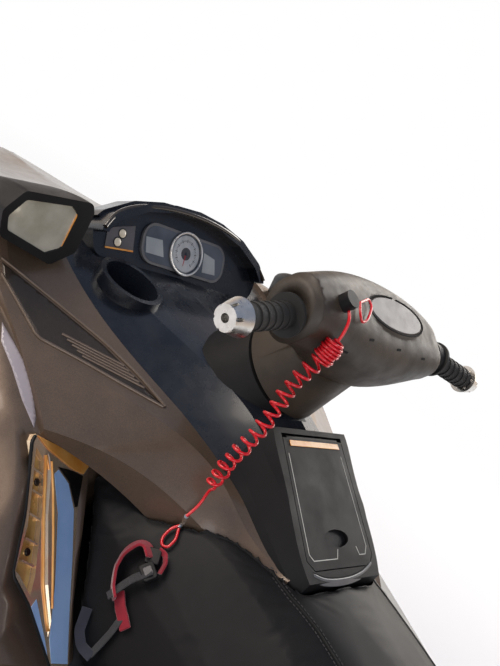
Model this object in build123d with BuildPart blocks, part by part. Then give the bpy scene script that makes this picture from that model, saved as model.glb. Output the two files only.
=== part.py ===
from build123d import *
import os
from math import cos, radians, sin, tan

os.makedirs("parts", exist_ok=True)

# Personal watercraft, a three-seat runabout. Millimetres.
# +X is the bow, +Y is port, +Z is up. Z = 0 is the floor under the keel flat.

# Clearances
SEAT_GAP = 0.3  # between pieces that rest on each other
RUN_GAP = 0.05  # radial, at turning shafts
MOVE_GAP = 6.0  # round pieces that swing past others

# Hull
TRANSOM_X = -1600
BUMPER_PROUD = 15
BUMPER_BELOW = 30
BUMPER_ABOVE = 18
# station x, keel z, pad y, pad z, chine y, chine z, gunwale y, gunwale z
HULL_STATIONS = (
    (TRANSOM_X, -8, 130, -6, 455, 185, 520, 455),
    (-1000, -8, 130, -6, 480, 185, 575, 470),
    (0, -8, 120, 30, 490, 190, 595, 490),
    (600, 20, 100, 60, 450, 230, 585, 520),
    (1000, 98, 75, 128, 350, 300, 510, 537),
    (1300, 212, 50, 240, 225, 378, 385, 550),
    (1500, 325, 30, 348, 120, 448, 250, 558),
    (1640, 478, 10, 486, 35, 523, 90, 562),
)
NOSE_X = 1685
NOSE_HALF = 60
NOSE_Z = 562

# Jet tunnel and pump
TUNNEL_HALF = 115
TUNNEL_ROOF = 240
TUNNEL_ROOF_AFT = 300
PUMP_Z = 120
IMPELLER_R = 77
PUMP_BORE_R = 78.5
PUMP_OUTER_R = 92
PUMP_FRONT_X = -1250
PUMP_REAR_X = -1480
CONE_REAR_X = -1506
CONE_BORE_R = 52
CONE_WALL = 10
HUB_R = 30
STATOR_FRONT_X = -1410
VANE_COUNT = 6
VANE_T = 5
BLADE_COUNT = 4
SHAFT_R = 14
SHAFT_FRONT_X = -700
SHAFT_TUBE_R = 22
FLANGE_T = 12
STEER_PIVOT_X = -1545
NOZZLE_RING_R = 72
NOZZLE_AHEAD = 4
NOZZLE_WALL = 8
NOZZLE_OUT_X = -1625
NOZZLE_OUT_R = 48
NOZZLE_PIN_R = 6
NOZZLE_PIN_L = 22
BUCKET_PIVOT_X = -1540
BUCKET_R = 110
BUCKET_WALL = 6
BUCKET_CHEEK_Y = 98
BUCKET_START_DEG = 40
BUCKET_SPAN_DEG = 65
BUCKET_PIN_R = 7
EAR_Y = 90
EAR_T = 7

# Ride plate and intake grate
PLATE_T = 10
PLATE_FRONT_X = -1080
PLATE_REAR_X = -1570
GRATE_FRONT_X = -740
GRATE_BAR_COUNT = 4
GRATE_BAR_W = 8

# Engine bay
ENGINE_X = (-560, 60)
ENGINE_HALF = 160
ENGINE_Z = (90, 455)
BAY_MARGIN_X = 55
BAY_HALF = 200

# Deck
DECK_RISE = 45
DECK_INSET = 15
WELL_X = (-1180, 215)
WELL_Y = (230, 455)
WELL_FLOOR = 335
WELL_RAMP = 260
WELL_WALL = 8
PEDESTAL_X = (-1060, 330)
PEDESTAL_TOP_HALF = 205
PEDESTAL_BASE_HALF = 226
PEDESTAL_TOP_Z = 600
# Body between the deck and the cowls. Stations are evenly spaced, which keeps a loft fair.
# x, centre z, inner band y, z, outer band y, z, side y, z, foot y
BODY_STATIONS = (
    (200, 690, 395, 640, 412, 636, 470, 570, 548),
    (343, 736, 392, 693, 412, 685, 482, 611, 548),
    (486, 779, 362, 750, 390, 741, 485, 664, 546),
    (629, 800, 372, 784, 402, 773, 488, 690, 541),
    (772, 800, 380, 790, 412, 779, 483, 698, 516),
    (915, 771.6, 334, 771.5, 400, 763, 465, 690, 490),
)
# Bow under the hood: x, sill z, sill y, crest y, z, side y, z, foot y
BOW_STATIONS = (
    (915, 771.5, 334, 400, 763, 465, 690, 490),
    (1076, 721.5, 310, 362, 704, 412, 655, 441),
    (1237, 681.5, 255, 296, 664, 340, 632, 367),
    (1398, 647.5, 178, 216, 632, 251, 612, 276),
    (1560, 621.5, 78, 100, 610, 125, 595, 145),
)
# The fender slopes down to the footwell in this plane; the accents lie on it
ACCENT_ORIGIN = (350, 310, 650)
ACCENT_NORMAL = (-0.561, -0.3005, 0.7714)
ACCENT_X_DIR = (-0.1768, 0.9538, 0.243)
ACCENT_T = 14
# Accent, in the slope's plane: its outline, the sunk gill, the raised ridge, fins and screws
ACCENT_OUTLINE = (
    (62, -135), (-70, -104), (-46, -83), (-35, -36), (-30, 32), (-24, 97), (-22, 168),
    (18, 161), (64, 81), (97, 42), (76, -31), (67, -126),
)
GILL_OUTLINE = (
    (60, -118), (43, -101), (43, -36), (48, 3), (54, 48), (62, 70), (84, 44), (92, 38),
    (72, -15), (66, -57),
)
RIDGE_OUTLINE = ((34, -112), (40, -30), (36, 60), (24, 125), (16, 60), (14, -30))
GILL_DEPTH = 8
RIDGE_H = 5
FIN_SIZE = (24, 3)
FIN_CENTRES = ((53, -85), (53, -57), (57, -27), (62, 4), (68, 31))
SCREW_CENTRES = ((50, -72), (64, 17))
FENDER_INNER_Y = 226
SLOPE_INNER_Y = 205
SLOPE_OUTER_Y = 480

# Side cowls, port side: the skin from the inner edge past the crease to beyond the outer edge
# x, inner y, z, crease y, z, outer y, z
COWL_STATIONS = (
    (160, 84, 804, 92, 800, 160, 740),
    (308, 111, 805, 133, 801, 260, 700),
    (456, 161, 818, 222, 806, 440, 719),
    (604, 231, 832, 332, 798, 460, 752),
    (752, 272, 857, 362, 838, 460, 770),
    (900, 262, 858, 362, 830, 460, 756),
)
COWL_DEPTH = 60
# The outer edge in plan: from the tip to the corner over the accent, then to the mirror
COWL_TIP = (148, 98)
COWL_REAR_MID = (308, 186)
COWL_CORNER = (452, 358)
COWL_FRONT_MID = (610, 369)
COWL_MIRROR = (770, 398)
COWL_FRONT_X = 905
# Ribbed recess in the cowl, on a plane that follows the skin
RIB_COUNT = 5
RIB_W = 2.5

# Bow hood, over the storage bin; it is hinged at the bow
# x, half width, rim z, edge z, crest y, crest z, centre z
HOOD_STATIONS = (
    (915, 328, 772, 806, 235, 850, 874),
    (1076, 304, 722, 748, 214, 784, 806),
    (1237, 249, 682, 702, 174, 724, 740),
    (1398, 172, 648, 662, 118, 678, 690),
    (1560, 72, 622, 630, 46, 638, 643),
)
HOOD_WALL = 8
HOOD_HINGE = (1538, 614)
HOOD_BARREL_R = 6
HOOD_BARREL_HALF = 25
HOOD_LUG_Y = (30, 38)
HOOD_LUG_TOP = 620
HOOD_PIN_R = 3
HINGE_POCKET = (1526, 598)
HINGE_POCKET_HALF = 90
BIN_X = (960, 1330)
BIN_HALF = 170
BIN_FLOOR = 520

# Cockpit cowl; it fills the space between the side cowls
# x, edge y, z beside the side cowls, mid y, z, centre z
COCKPIT_STATIONS = (
    (340, 120, 807, 78, 868, 893),
    (480, 171, 820, 98, 872, 897),
    (620, 238, 834, 140, 858, 876),
    (760, 273, 857, 178, 854, 858),
    (900, 262, 858, 178, 853, 855),
)
DUCT_CENTRE = (697, 160)
DUCT_BORE_R = 50
DUCT_RIM_R = 60
DUCT_RIM_Z = 868
DUCT_DEPTH = 70

# Console and glovebox lid
LID_REAR = (163, 821)
LID_LENGTH = 184.5
LID_ANGLE = 23.65
LID_HALF_REAR = 84
LID_HALF_FRONT = 76
LID_T = 12
LID_PIN_R = 2.5
LID_SLOT_GAP = 3
BOX_DEPTH = 60
# x, half width low, z of the side's break, half width high, top z
CONSOLE_STATIONS = (
    (140, 90, 770, 90, 825),
    (156, 98, 790, 92, 835),
    (255, 112, 790, 90, 880),
    (346, 132, 796, 86, 920),
)
# Finger recess in the lid's rear edge
RECESS_AT = 34
RECESS_SIZE = (13, 30)

# Steering
STEER_ORIGIN = (455, 0, 930)
STEER_AXIS = (-0.42, 0, 0.907)
STEM_R = 18
STEM_BELOW = 80
STEM_ABOVE = 100
COLLAR_R = 85
BAR_HEIGHT = 158
BAR_R = 11
BAR_SWEEP = 36
BAR_END_Y = 304
BAR_BEND_Y = 150
GRIP_R = 17.5
GRIP_LENGTH = 105
GRIP_FLANGE_R = 30
BAR_END_R = 25
GRIP_RING_COUNT = 6
# The port end of the cover has a round flange with a recess
FLANGE_R = 43
FLANGE_RECESS_R = 24
# Cover over the bar, in the steering plane: y, aft x, fore x, low z, high z
COVER_STATIONS = (
    (186, -44, 46, 112, 206),
    (96, -54, 76, 86, 204),
    (6, -66, 96, 62, 196),
    (-84, -62, 88, 80, 192),
    (-174, -46, 50, 112, 186),
)
COVER_ROUND = 0.42
PAD_CENTRE = (14, -25)
PAD_SIZE = (32, 82)
PAD_Z = (188, 199)

# Instrument pod
POD_ORIGIN = (800, 0, 895)
POD_NORMAL = (-0.8, 0, 0.6)
POD_DEPTH = 70
DIAL_R = 38
HOOD_RIM = 14
HOOD_RIM_H = 26
VISOR_T = 6

# Mirrors
MIRROR_CENTRE = (718, 345, 900)
MIRROR_NORMAL = (-0.956, -0.157, 0.246)
MIRROR_DEPTH = 120
GLASS_T = 3
GLASS_SUNK = 3
# inboard offset, height
GLASS_OUTLINE = ((-47, 37), (35, 44), (52, 33), (46, -25), (20, -37), (-60, -13), (-67, 8))
SHELL_OUTLINE = ((-54, 50), (72, 57), (82, 40), (76, -28), (36, -55), (-70, -24), (-80, 15))
GLASS_ROUND = 9
SHELL_ROUND = 14

# Seat
# x, top y, z, edge y, z, side y, z, flank y, z, skirt y
SEAT_STATIONS = (
    (430, 150, 735, 205, 722, 246, 700, 262, 660, 262),
    (260, 110, 779, 158, 765, 235, 690, 280, 590, 282),
    (90, 84, 803, 134, 790, 225, 690, 266, 600, 270),
    (-80, 90, 802, 148, 785, 222, 690, 255, 600, 259),
    (-250, 96, 795, 156, 776, 221, 690, 250, 600, 254),
    (-420, 100, 790, 160, 770, 220, 690, 248, 600, 252),
)
REAR_SEAT_STATIONS = (
    (-420, 100, 850, 158, 832, 226, 720, 250, 600, 253),
    (-627, 105, 869, 158, 849, 222, 730, 248, 600, 252),
    (-833, 102, 864, 153, 844, 214, 730, 240, 600, 243),
    (-1040, 90, 850, 132, 828, 190, 720, 215, 600, 216),
)
SEAT_CROWN = 8
SEAT_SKIRT_Z = 540
SEAT_SPLIT_X = -420

# Lanyard: cord from the clip on the handlebar cover, coiled, then down to the wrist strap
CORD_R = 2.25
COIL_R = 11
LEAD_POINTS = ((351, 137, 1115), (334, 141, 1110), (326, 145, 1058))
COIL_POINTS = ((326, 145, 1066), (332, 158, 1003), (309, 172, 927), (311, 180, 859), (308, 170, 794))
TAIL_POINTS = ((308, 169, 800), (301, 174, 776), (297, 189, 759), (287, 207, 734), (279, 217, 723))
CLIP_AT = (-3, 137)
CLIP_R = 13
CLIP_H = 17
# Wrist strap and buckle as they lie on the seat's flank, seen from the side: x, z
STRAP_T = 5
STRAP_OUTLINE = (
    (300, 706), (306, 684), (288, 655), (214, 630), (196, 642), (236, 666), (252, 700),
)
TAIL_OUTLINE = ((272, 640), (236, 608), (198, 594), (190, 608), (232, 630), (262, 648))
BUCKLE_OUTLINE = ((298, 712), (286, 724), (246, 704), (256, 690))
BUCKLE_T = 9

# Rear grab handle, mats and eyes
HANDLE_HALF = 130
HANDLE_ROOT_Z = 560
HANDLE_REAR_X = -1150
HANDLE_TOP_Z = 700
HANDLE_R = 13
MAT_T = 5
EYE_BORE_R = 9
BOW_EYE_X = 1500
BOW_EYE_Z = 302

# Boarding step
STEP_PIVOT_X = -1673
STEP_PIVOT_Z = 330
STEP_HALF = 112
STEP_RISE = 170
STEP_TUBE_R = 9
STEP_LUG_T = 12
STEP_LUG_Y = STEP_HALF + MOVE_GAP + STEP_TUBE_R
STEP_PIN_R = 5

STEER_PLANE = Plane(origin=STEER_ORIGIN, x_dir=(0.907, 0, 0.42), z_dir=STEER_AXIS)
POD_PLANE = Plane(origin=POD_ORIGIN, x_dir=(0, -1, 0), z_dir=POD_NORMAL)
LID_PLANE = Plane(
    origin=(LID_REAR[0], 0, LID_REAR[1]),
    x_dir=(cos(radians(LID_ANGLE)), 0, sin(radians(LID_ANGLE))),
    z_dir=(-sin(radians(LID_ANGLE)), 0, cos(radians(LID_ANGLE))),
)
ACCENT_PLANE = Plane(origin=ACCENT_ORIGIN, x_dir=ACCENT_X_DIR, z_dir=ACCENT_NORMAL)
ACCENT_PLANE_STBD = Plane(
    origin=(ACCENT_ORIGIN[0], -ACCENT_ORIGIN[1], ACCENT_ORIGIN[2]),
    x_dir=(ACCENT_X_DIR[0], -ACCENT_X_DIR[1], ACCENT_X_DIR[2]),
    z_dir=(ACCENT_NORMAL[0], -ACCENT_NORMAL[1], ACCENT_NORMAL[2]),
)
MIRROR_PLANE = Plane(
    origin=MIRROR_CENTRE, x_dir=(0.162, -0.987, 0), z_dir=MIRROR_NORMAL
)


def station(x):
    """Plane across the craft at x; its local x is +Y and its local y is +Z."""
    return Plane(origin=(x, 0, 0), x_dir=(0, 1, 0), z_dir=(1, 0, 0))


def outline(plane, points):
    """Closed straight-sided face on a plane."""
    with BuildSketch(plane) as face:
        with BuildLine():
            Polyline(*points, close=True)
        make_face()
    return face.sketch


def across(x, half_points):
    """Face at station x from the points of its port half, closed by their mirror image."""
    other = [(-y, z) for y, z in reversed(half_points) if y != 0]
    return outline(station(x), list(half_points) + other)


def slab(plane, points, start, end):
    """Prism of a closed outline, from start to end along the plane's normal."""
    with BuildPart() as prism:
        with BuildSketch(plane.offset(start)):
            with BuildLine():
                Polyline(*points, close=True)
            make_face()
        extrude(amount=end - start)
    return prism.part


def largest(part):
    """The largest solid of a part; cuts between lofts can leave slivers beside it."""
    return max(part.solids(), key=lambda solid: solid.volume)


def box(x, y, z):
    """Block between two values on each axis."""
    with BuildPart() as block:
        with Locations(((x[0] + x[1]) / 2, (y[0] + y[1]) / 2, (z[0] + z[1]) / 2)):
            Box(x[1] - x[0], y[1] - y[0], z[1] - z[0])
    return block.part


# Hull
with BuildPart() as hull_form:
    loft(
        sections=[
            across(x, ((0, kz), (py, pz), (cy, cz), (gy, gz)))
            for x, kz, py, pz, cy, cz, gy, gz in HULL_STATIONS
        ]
    )
    split(bisect_by=Plane.XY, keep=Keep.TOP)

def well(grow):
    """Footwell volume on the port side, enlarged on all sides by grow."""
    points = (
        (WELL_X[1] + grow, WELL_FLOOR - grow),
        (WELL_X[0] + WELL_RAMP, WELL_FLOOR - grow),
        (WELL_X[0] - grow, 520 - grow),
        (WELL_X[0] - grow, 660),
        (WELL_X[1] + grow, 660),
    )
    side = Plane.XZ.offset(-(WELL_Y[1] + grow))
    return slab(side, points, 0, WELL_Y[1] - WELL_Y[0] + 2 * grow)


with BuildPart() as hull:
    add(hull_form.part)
    # jet tunnel, seen from the side
    with BuildSketch(Plane.XZ.offset(-TUNNEL_HALF)):
        with BuildLine():
            Polyline(
                (TRANSOM_X - 10, -20),
                (TRANSOM_X - 10, TUNNEL_ROOF_AFT),
                (PUMP_REAR_X, TUNNEL_ROOF_AFT),
                (PUMP_REAR_X, TUNNEL_ROOF),
                (-1200, TUNNEL_ROOF),
                (-1080, 205),
                (GRATE_FRONT_X, -20),
                close=True,
            )
        make_face()
    extrude(amount=2 * TUNNEL_HALF, mode=Mode.SUBTRACT)
    # engine bay, open at the top under the deck
    bay_x = (ENGINE_X[0] - BAY_MARGIN_X, ENGINE_X[1] + BAY_MARGIN_X)
    add(box(bay_x, (-BAY_HALF, BAY_HALF), (ENGINE_Z[0], ENGINE_Z[0] + 600)), mode=Mode.SUBTRACT)
    # tube for the drive shaft, from the bay to the tunnel
    with Locations(Plane(origin=(ENGINE_X[0], 0, PUMP_Z), z_dir=(-1, 0, 0))):
        Cylinder(
            SHAFT_TUBE_R,
            640,
            align=(Align.CENTER, Align.CENTER, Align.MIN),
            mode=Mode.SUBTRACT,
        )
    add(well(WELL_WALL), mode=Mode.SUBTRACT)
    add(mirror(well(WELL_WALL), about=Plane.XZ, mode=Mode.PRIVATE), mode=Mode.SUBTRACT)
    add(
        box((BIN_X[0] - 8, BIN_X[1] + 8), (-BIN_HALF - 8, BIN_HALF + 8), (BIN_FLOOR - 8, 800)),
        mode=Mode.SUBTRACT,
    )
hull.part.label = "hull"

# Deck
def deck_z(x):
    """Height half way up the deck's edge at x."""
    for (x0, *_, z0), (x1, *_, z1) in zip(HULL_STATIONS, HULL_STATIONS[1:]):
        if x0 <= x <= x1:
            return z0 + (z1 - z0) * (x - x0) / (x1 - x0) + DECK_RISE / 2
    return z1


with BuildPart() as body_core:
    loft(
        sections=[
            across(
                x,
                ((0, deck_z(x)), (fy, deck_z(x)), (sy, sz), (oy, oz), (iy, iz), (0, mz)),
            )
            for x, mz, iy, iz, oy, oz, sy, sz, fy in BODY_STATIONS
        ]
    )

with BuildPart() as bow_core:
    loft(
        sections=[
            across(
                x,
                ((0, deck_z(x)), (fy, deck_z(x)), (sy, sz), (cy, cz), (iy, iz - 0.5), (0, iz)),
            )
            for x, iz, iy, cy, cz, sy, sz, fy in BOW_STATIONS
        ]
    )

# the open space over the fender's slope on the port side, and the space below it
with BuildPart() as above_slope:
    add(box((BODY_STATIONS[0][0], 640), (SLOPE_INNER_Y, SLOPE_OUTER_Y), (400, 900)))
    split(bisect_by=ACCENT_PLANE, keep=Keep.TOP)
with BuildPart() as below_slope:
    add(box((BODY_STATIONS[0][0], 700), (SLOPE_INNER_Y - 5, SLOPE_OUTER_Y), (300, 900)))
    split(bisect_by=ACCENT_PLANE.offset(SEAT_GAP), keep=Keep.BOTTOM)


def seat_form(stations, grow=0):
    """Crowned seat block with skirts beside the pedestal, its flanks moved out by grow."""
    with BuildPart() as block:
        loft(
            sections=[
                across(
                    x,
                    (
                        (0, SEAT_SKIRT_Z),
                        (ky + grow, SEAT_SKIRT_Z),
                        (fy + grow, fz),
                        (my + grow, mz + grow / 2),
                        (ey + grow, ez + grow),
                        (ty, tz + grow),
                        (0, tz + grow + SEAT_CROWN),
                    ),
                )
                for x, ty, tz, ey, ez, my, mz, fy, fz, ky in stations
            ]
        )
    return block.part


with BuildPart() as pedestal:
    with BuildSketch(station(PEDESTAL_X[0])):
        with BuildLine():
            Polyline(
                (-PEDESTAL_BASE_HALF, WELL_FLOOR + 100),
                (PEDESTAL_BASE_HALF, WELL_FLOOR + 100),
                (PEDESTAL_TOP_HALF, PEDESTAL_TOP_Z),
                (-PEDESTAL_TOP_HALF, PEDESTAL_TOP_Z),
                close=True,
            )
        make_face()
    extrude(amount=PEDESTAL_X[1] - PEDESTAL_X[0])
# what the seats leave free round the pedestal
with BuildPart() as pedestal_room:
    with BuildSketch(station(PEDESTAL_X[0] - SEAT_GAP)):
        with BuildLine():
            Polyline(
                (-PEDESTAL_BASE_HALF - SEAT_GAP, WELL_FLOOR + 100),
                (PEDESTAL_BASE_HALF + SEAT_GAP, WELL_FLOOR + 100),
                (PEDESTAL_TOP_HALF + SEAT_GAP, PEDESTAL_TOP_Z + SEAT_GAP),
                (-PEDESTAL_TOP_HALF - SEAT_GAP, PEDESTAL_TOP_Z + SEAT_GAP),
                close=True,
            )
        make_face()
    extrude(amount=PEDESTAL_X[1] - PEDESTAL_X[0] + 2 * SEAT_GAP)

with BuildPart() as deck_form:
    loft(
        sections=[
            across(
                x,
                (
                    (0, gz - 12),
                    (gy - DECK_INSET + 3, gz - 12),
                    (gy - DECK_INSET, gz + DECK_RISE),
                    (0, gz + DECK_RISE),
                ),
            )
            for x, kz, py, pz, cy, cz, gy, gz in HULL_STATIONS
        ]
    )

# pocket in the bow for the hood's hinge
hinge_pocket = box(
    (HINGE_POCKET[0], 1600), (-HINGE_POCKET_HALF, HINGE_POCKET_HALF), (HINGE_POCKET[1], 700)
)
with BuildPart() as deck:
    add(deck_form.part)
    add(pedestal.part)
    add(hull_form.part, mode=Mode.SUBTRACT)
    for side in (1, -1):
        tray = well(WELL_WALL - 1)
        floor = well(0)
        if side < 0:
            tray = mirror(tray, about=Plane.XZ, mode=Mode.PRIVATE)
            floor = mirror(floor, about=Plane.XZ, mode=Mode.PRIVATE)
        with BuildPart(mode=Mode.PRIVATE) as tub:
            add(tray)
            split(bisect_by=Plane.XY.offset(500), keep=Keep.BOTTOM)
        add(tub.part)
        add(floor, mode=Mode.SUBTRACT)
    add(box(BIN_X, (-BIN_HALF, BIN_HALF), (BIN_FLOOR, 1000)), mode=Mode.SUBTRACT)
    add(hinge_pocket, mode=Mode.SUBTRACT)
    add(largest(deck.part), mode=Mode.REPLACE)
    # lugs and pin for the hood
    for side in (1, -1):
        lug_y = sorted((side * HOOD_LUG_Y[0], side * HOOD_LUG_Y[1]))
        lug_x = (HOOD_HINGE[0] - 8, HOOD_HINGE[0] + 8)
        add(box(lug_x, lug_y, (HINGE_POCKET[1] - 10, HOOD_LUG_TOP)))
    with Locations(Plane(origin=(HOOD_HINGE[0], 0, HOOD_HINGE[1]), z_dir=(0, 1, 0))):
        Cylinder(HOOD_PIN_R, 2 * HOOD_LUG_Y[1])
deck.part.label = "deck"

# Front body, between the deck and the cowls
def accent_face(depth, grow):
    """The accent's outline, enlarged by grow, at a depth under the fender's slope."""
    with BuildSketch(ACCENT_PLANE.offset(-depth)) as face:
        with BuildLine():
            Polyline(*ACCENT_OUTLINE, close=True)
        make_face()
        offset(amount=grow, kind=Kind.INTERSECTION)
    return face.sketch


seat_front_form = seat_form(SEAT_STATIONS)
with BuildPart() as accent_pocket:
    extrude(accent_face(ACCENT_T, SEAT_GAP), amount=ACCENT_T + 30)
with BuildPart() as front_body:
    add(body_core.part)
    add(above_slope.part, mode=Mode.SUBTRACT)
    add(accent_pocket.part, mode=Mode.SUBTRACT)
    add(mirror(above_slope.part, about=Plane.XZ, mode=Mode.PRIVATE), mode=Mode.SUBTRACT)
    add(mirror(accent_pocket.part, about=Plane.XZ, mode=Mode.PRIVATE), mode=Mode.SUBTRACT)
    add(seat_front_form, mode=Mode.SUBTRACT)
    add(bow_core.part)
    add(deck_form.part, mode=Mode.SUBTRACT)
    for side in (1, -1):
        well_y = sorted((side * WELL_Y[0], side * WELL_Y[1]))
        add(box((100, WELL_X[1]), well_y, (400, 700)), mode=Mode.SUBTRACT)
    pedestal_x = (100, PEDESTAL_X[1] + SEAT_GAP)
    pedestal_z = (400, PEDESTAL_TOP_Z + SEAT_GAP)
    add(box(pedestal_x, (-FENDER_INNER_Y, FENDER_INNER_Y), pedestal_z), mode=Mode.SUBTRACT)
    add(box(BIN_X, (-BIN_HALF, BIN_HALF), (BIN_FLOOR, 1000)), mode=Mode.SUBTRACT)
    add(hinge_pocket, mode=Mode.SUBTRACT)
    add(largest(front_body.part), mode=Mode.REPLACE)
front_body.part.label = "front_body"

# Rubber bumper round the gunwale
def rim_band(stations, reach, low, high):
    """Loft of rectangles as wide as the gunwale plus reach, between two heights from it."""
    with BuildPart() as band:
        loft(
            sections=[
                across(
                    x,
                    ((0, z + low), (y + reach, z + low), (y + reach, z + high), (0, z + high)),
                )
                for x, y, z in stations
            ]
        )
    return band.part


gunwale_line = [(x, gy, gz) for x, kz, py, pz, cy, cz, gy, gz in HULL_STATIONS]
with BuildPart() as gunwale_bumper:
    add(rim_band(gunwale_line, BUMPER_PROUD, -BUMPER_BELOW, BUMPER_ABOVE))
    add(rim_band(gunwale_line, 3, -BUMPER_BELOW - 30, SEAT_GAP), mode=Mode.SUBTRACT)
    add(rim_band(gunwale_line, -DECK_INSET + 3.3, -10, BUMPER_ABOVE + 30), mode=Mode.SUBTRACT)
    add(hull_form.part, mode=Mode.SUBTRACT)
    nose_line = [gunwale_line[-1], (NOSE_X, NOSE_HALF - BUMPER_PROUD, NOSE_Z)]
    add(rim_band(nose_line, BUMPER_PROUD, -BUMPER_BELOW, BUMPER_ABOVE))
    add(hull_form.part, mode=Mode.SUBTRACT)
gunwale_bumper.part.label = "gunwale_bumper"

# Side cowls
with BuildPart() as side_cowls:
    loft(
        sections=[
            outline(
                station(x),
                ((iy, iz), (cy, cz), (oy, oz), (oy, oz - COWL_DEPTH), (iy, iz - COWL_DEPTH - 20)),
            )
            for x, iy, iz, cy, cz, oy, oz in COWL_STATIONS
        ]
    )
    with BuildSketch(Plane.XY.offset(600)) as cowl_plan:
        with BuildLine():
            ThreePointArc(COWL_TIP, COWL_REAR_MID, COWL_CORNER)
            ThreePointArc(COWL_CORNER, COWL_FRONT_MID, COWL_MIRROR)
            Polyline(COWL_MIRROR, (COWL_FRONT_X, 396), (COWL_FRONT_X, 0), (COWL_TIP[0], 0), COWL_TIP)
        make_face()
    extrude(amount=400, mode=Mode.INTERSECT)
    add(body_core.part, mode=Mode.SUBTRACT)
    add(largest(side_cowls.part), mode=Mode.REPLACE)
    mirror(about=Plane.XZ)
side_cowls.part.label = "side_cowls"

# Cockpit cowl with its two air ducts
with BuildPart() as cockpit_cowl:
    loft(
        sections=[
            across(
                x,
                (
                    (0, 700),
                    (ey + 10, 700),
                    (ey + 10, ez - 8),
                    (my, mz),
                    (0, z),
                ),
            )
            for x, ey, ez, my, mz, z in COCKPIT_STATIONS
        ]
    )
    for side in (1, -1):
        with Locations((DUCT_CENTRE[0], side * DUCT_CENTRE[1], DUCT_RIM_Z)):
            Cylinder(DUCT_RIM_R, 60, align=(Align.CENTER, Align.CENTER, Align.MAX))
            Cylinder(DUCT_BORE_R, 2 * DUCT_DEPTH, mode=Mode.SUBTRACT)
    with Locations(STEER_PLANE):
        Cylinder(STEM_R + 4, 400, mode=Mode.SUBTRACT)
    # room for the turning cover above, and for the lid's barrel behind
    with Locations(STEER_PLANE.offset(-MOVE_GAP)):
        Cylinder(
            COLLAR_R + MOVE_GAP,
            150,
            align=(Align.CENTER, Align.CENTER, Align.MIN),
            mode=Mode.SUBTRACT,
        )
    with Locations(LID_PLANE * Pos(LID_LENGTH, 0, -LID_T / 2) * Rot(90, 0, 0)):
        Cylinder(LID_T / 2 + MOVE_GAP, 2 * LID_HALF_FRONT + 4, mode=Mode.SUBTRACT)
    add(side_cowls.part, mode=Mode.SUBTRACT)
    add(body_core.part, mode=Mode.SUBTRACT)
cockpit_cowl.part.label = "cockpit_cowl"

# Console, glovebox and lid
lid_outline = (
    (-8, LID_HALF_REAR - 14),
    (6, LID_HALF_REAR),
    (LID_LENGTH, LID_HALF_FRONT),
    (LID_LENGTH, -LID_HALF_FRONT),
    (6, -LID_HALF_REAR),
    (-8, -LID_HALF_REAR + 14),
)
with BuildPart() as console:
    loft(
        sections=[
            across(
                x,
                (
                    (0, 700),
                    (edge, 700),
                    (edge, z),
                    (half, top),
                    (0, top),
                ),
            )
            for x, edge, z, half, top in CONSOLE_STATIONS
        ]
    )
    split(bisect_by=LID_PLANE, keep=Keep.BOTTOM)
    # recess for the lid, then the glovebox below it
    with BuildSketch(LID_PLANE):
        with BuildLine():
            Polyline(*lid_outline, close=True)
        make_face()
        offset(amount=1.5, kind=Kind.INTERSECTION)
    extrude(amount=-LID_T - SEAT_GAP, mode=Mode.SUBTRACT)
    with BuildSketch(LID_PLANE.offset(-LID_T)):
        with Locations((LID_LENGTH / 2 + 2, 0)):
            Rectangle(LID_LENGTH - 45, 2 * LID_HALF_FRONT - 26)
    extrude(amount=-BOX_DEPTH, mode=Mode.SUBTRACT)
    add(side_cowls.part, mode=Mode.SUBTRACT)
    add(cockpit_cowl.part, mode=Mode.SUBTRACT)
    add(body_core.part, mode=Mode.SUBTRACT)
    # slot for the lid's barrel, and the lid pin from cheek to cheek
    with Locations(LID_PLANE * Pos(LID_LENGTH, 0, -LID_T / 2) * Rot(90, 0, 0)):
        Cylinder(LID_T / 2 + LID_SLOT_GAP, 2 * LID_HALF_FRONT + 4, mode=Mode.SUBTRACT)
        Cylinder(LID_PIN_R, 2 * LID_HALF_FRONT + 16)
    add(largest(console.part), mode=Mode.REPLACE)
console.part.label = "console"

with BuildPart() as glovebox_lid:
    with BuildSketch(LID_PLANE):
        with BuildLine():
            Polyline(*lid_outline, close=True)
        make_face()
    extrude(amount=-LID_T)
    with BuildSketch(LID_PLANE):
        with Locations((RECESS_AT, 0)):
            Ellipse(*RECESS_SIZE)
    extrude(amount=-LID_T / 2, mode=Mode.SUBTRACT)
    with Locations(LID_PLANE * Pos(LID_LENGTH, 0, -LID_T / 2) * Rot(90, 0, 0)):
        Cylinder(LID_T / 2, 2 * LID_HALF_FRONT - 20)
        Cylinder(LID_PIN_R + RUN_GAP, 2 * LID_HALF_FRONT + 20, mode=Mode.SUBTRACT)
glovebox_lid.part.label = "glovebox_lid"

# Steering column
with BuildPart() as steering_column:
    with BuildSketch(STEER_PLANE.offset(-90)):
        Circle(COLLAR_R + 22)
    with BuildSketch(STEER_PLANE.offset(-MOVE_GAP)):
        Circle(COLLAR_R)
    loft()
    with Locations(STEER_PLANE):
        Cylinder(STEM_R + RUN_GAP, 400, mode=Mode.SUBTRACT)
    add(cockpit_cowl.part, mode=Mode.SUBTRACT)
    add(side_cowls.part, mode=Mode.SUBTRACT)
    add(body_core.part, mode=Mode.SUBTRACT)
steering_column.part.label = "steering_column"

# Handlebar
with BuildPart() as handlebar_stem:
    with BuildSketch(STEER_PLANE.offset(-STEM_BELOW)):
        Circle(STEM_R)
    extrude(amount=STEM_BELOW + STEM_ABOVE)
handlebar_stem.part.label = "handlebar_stem"

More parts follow.
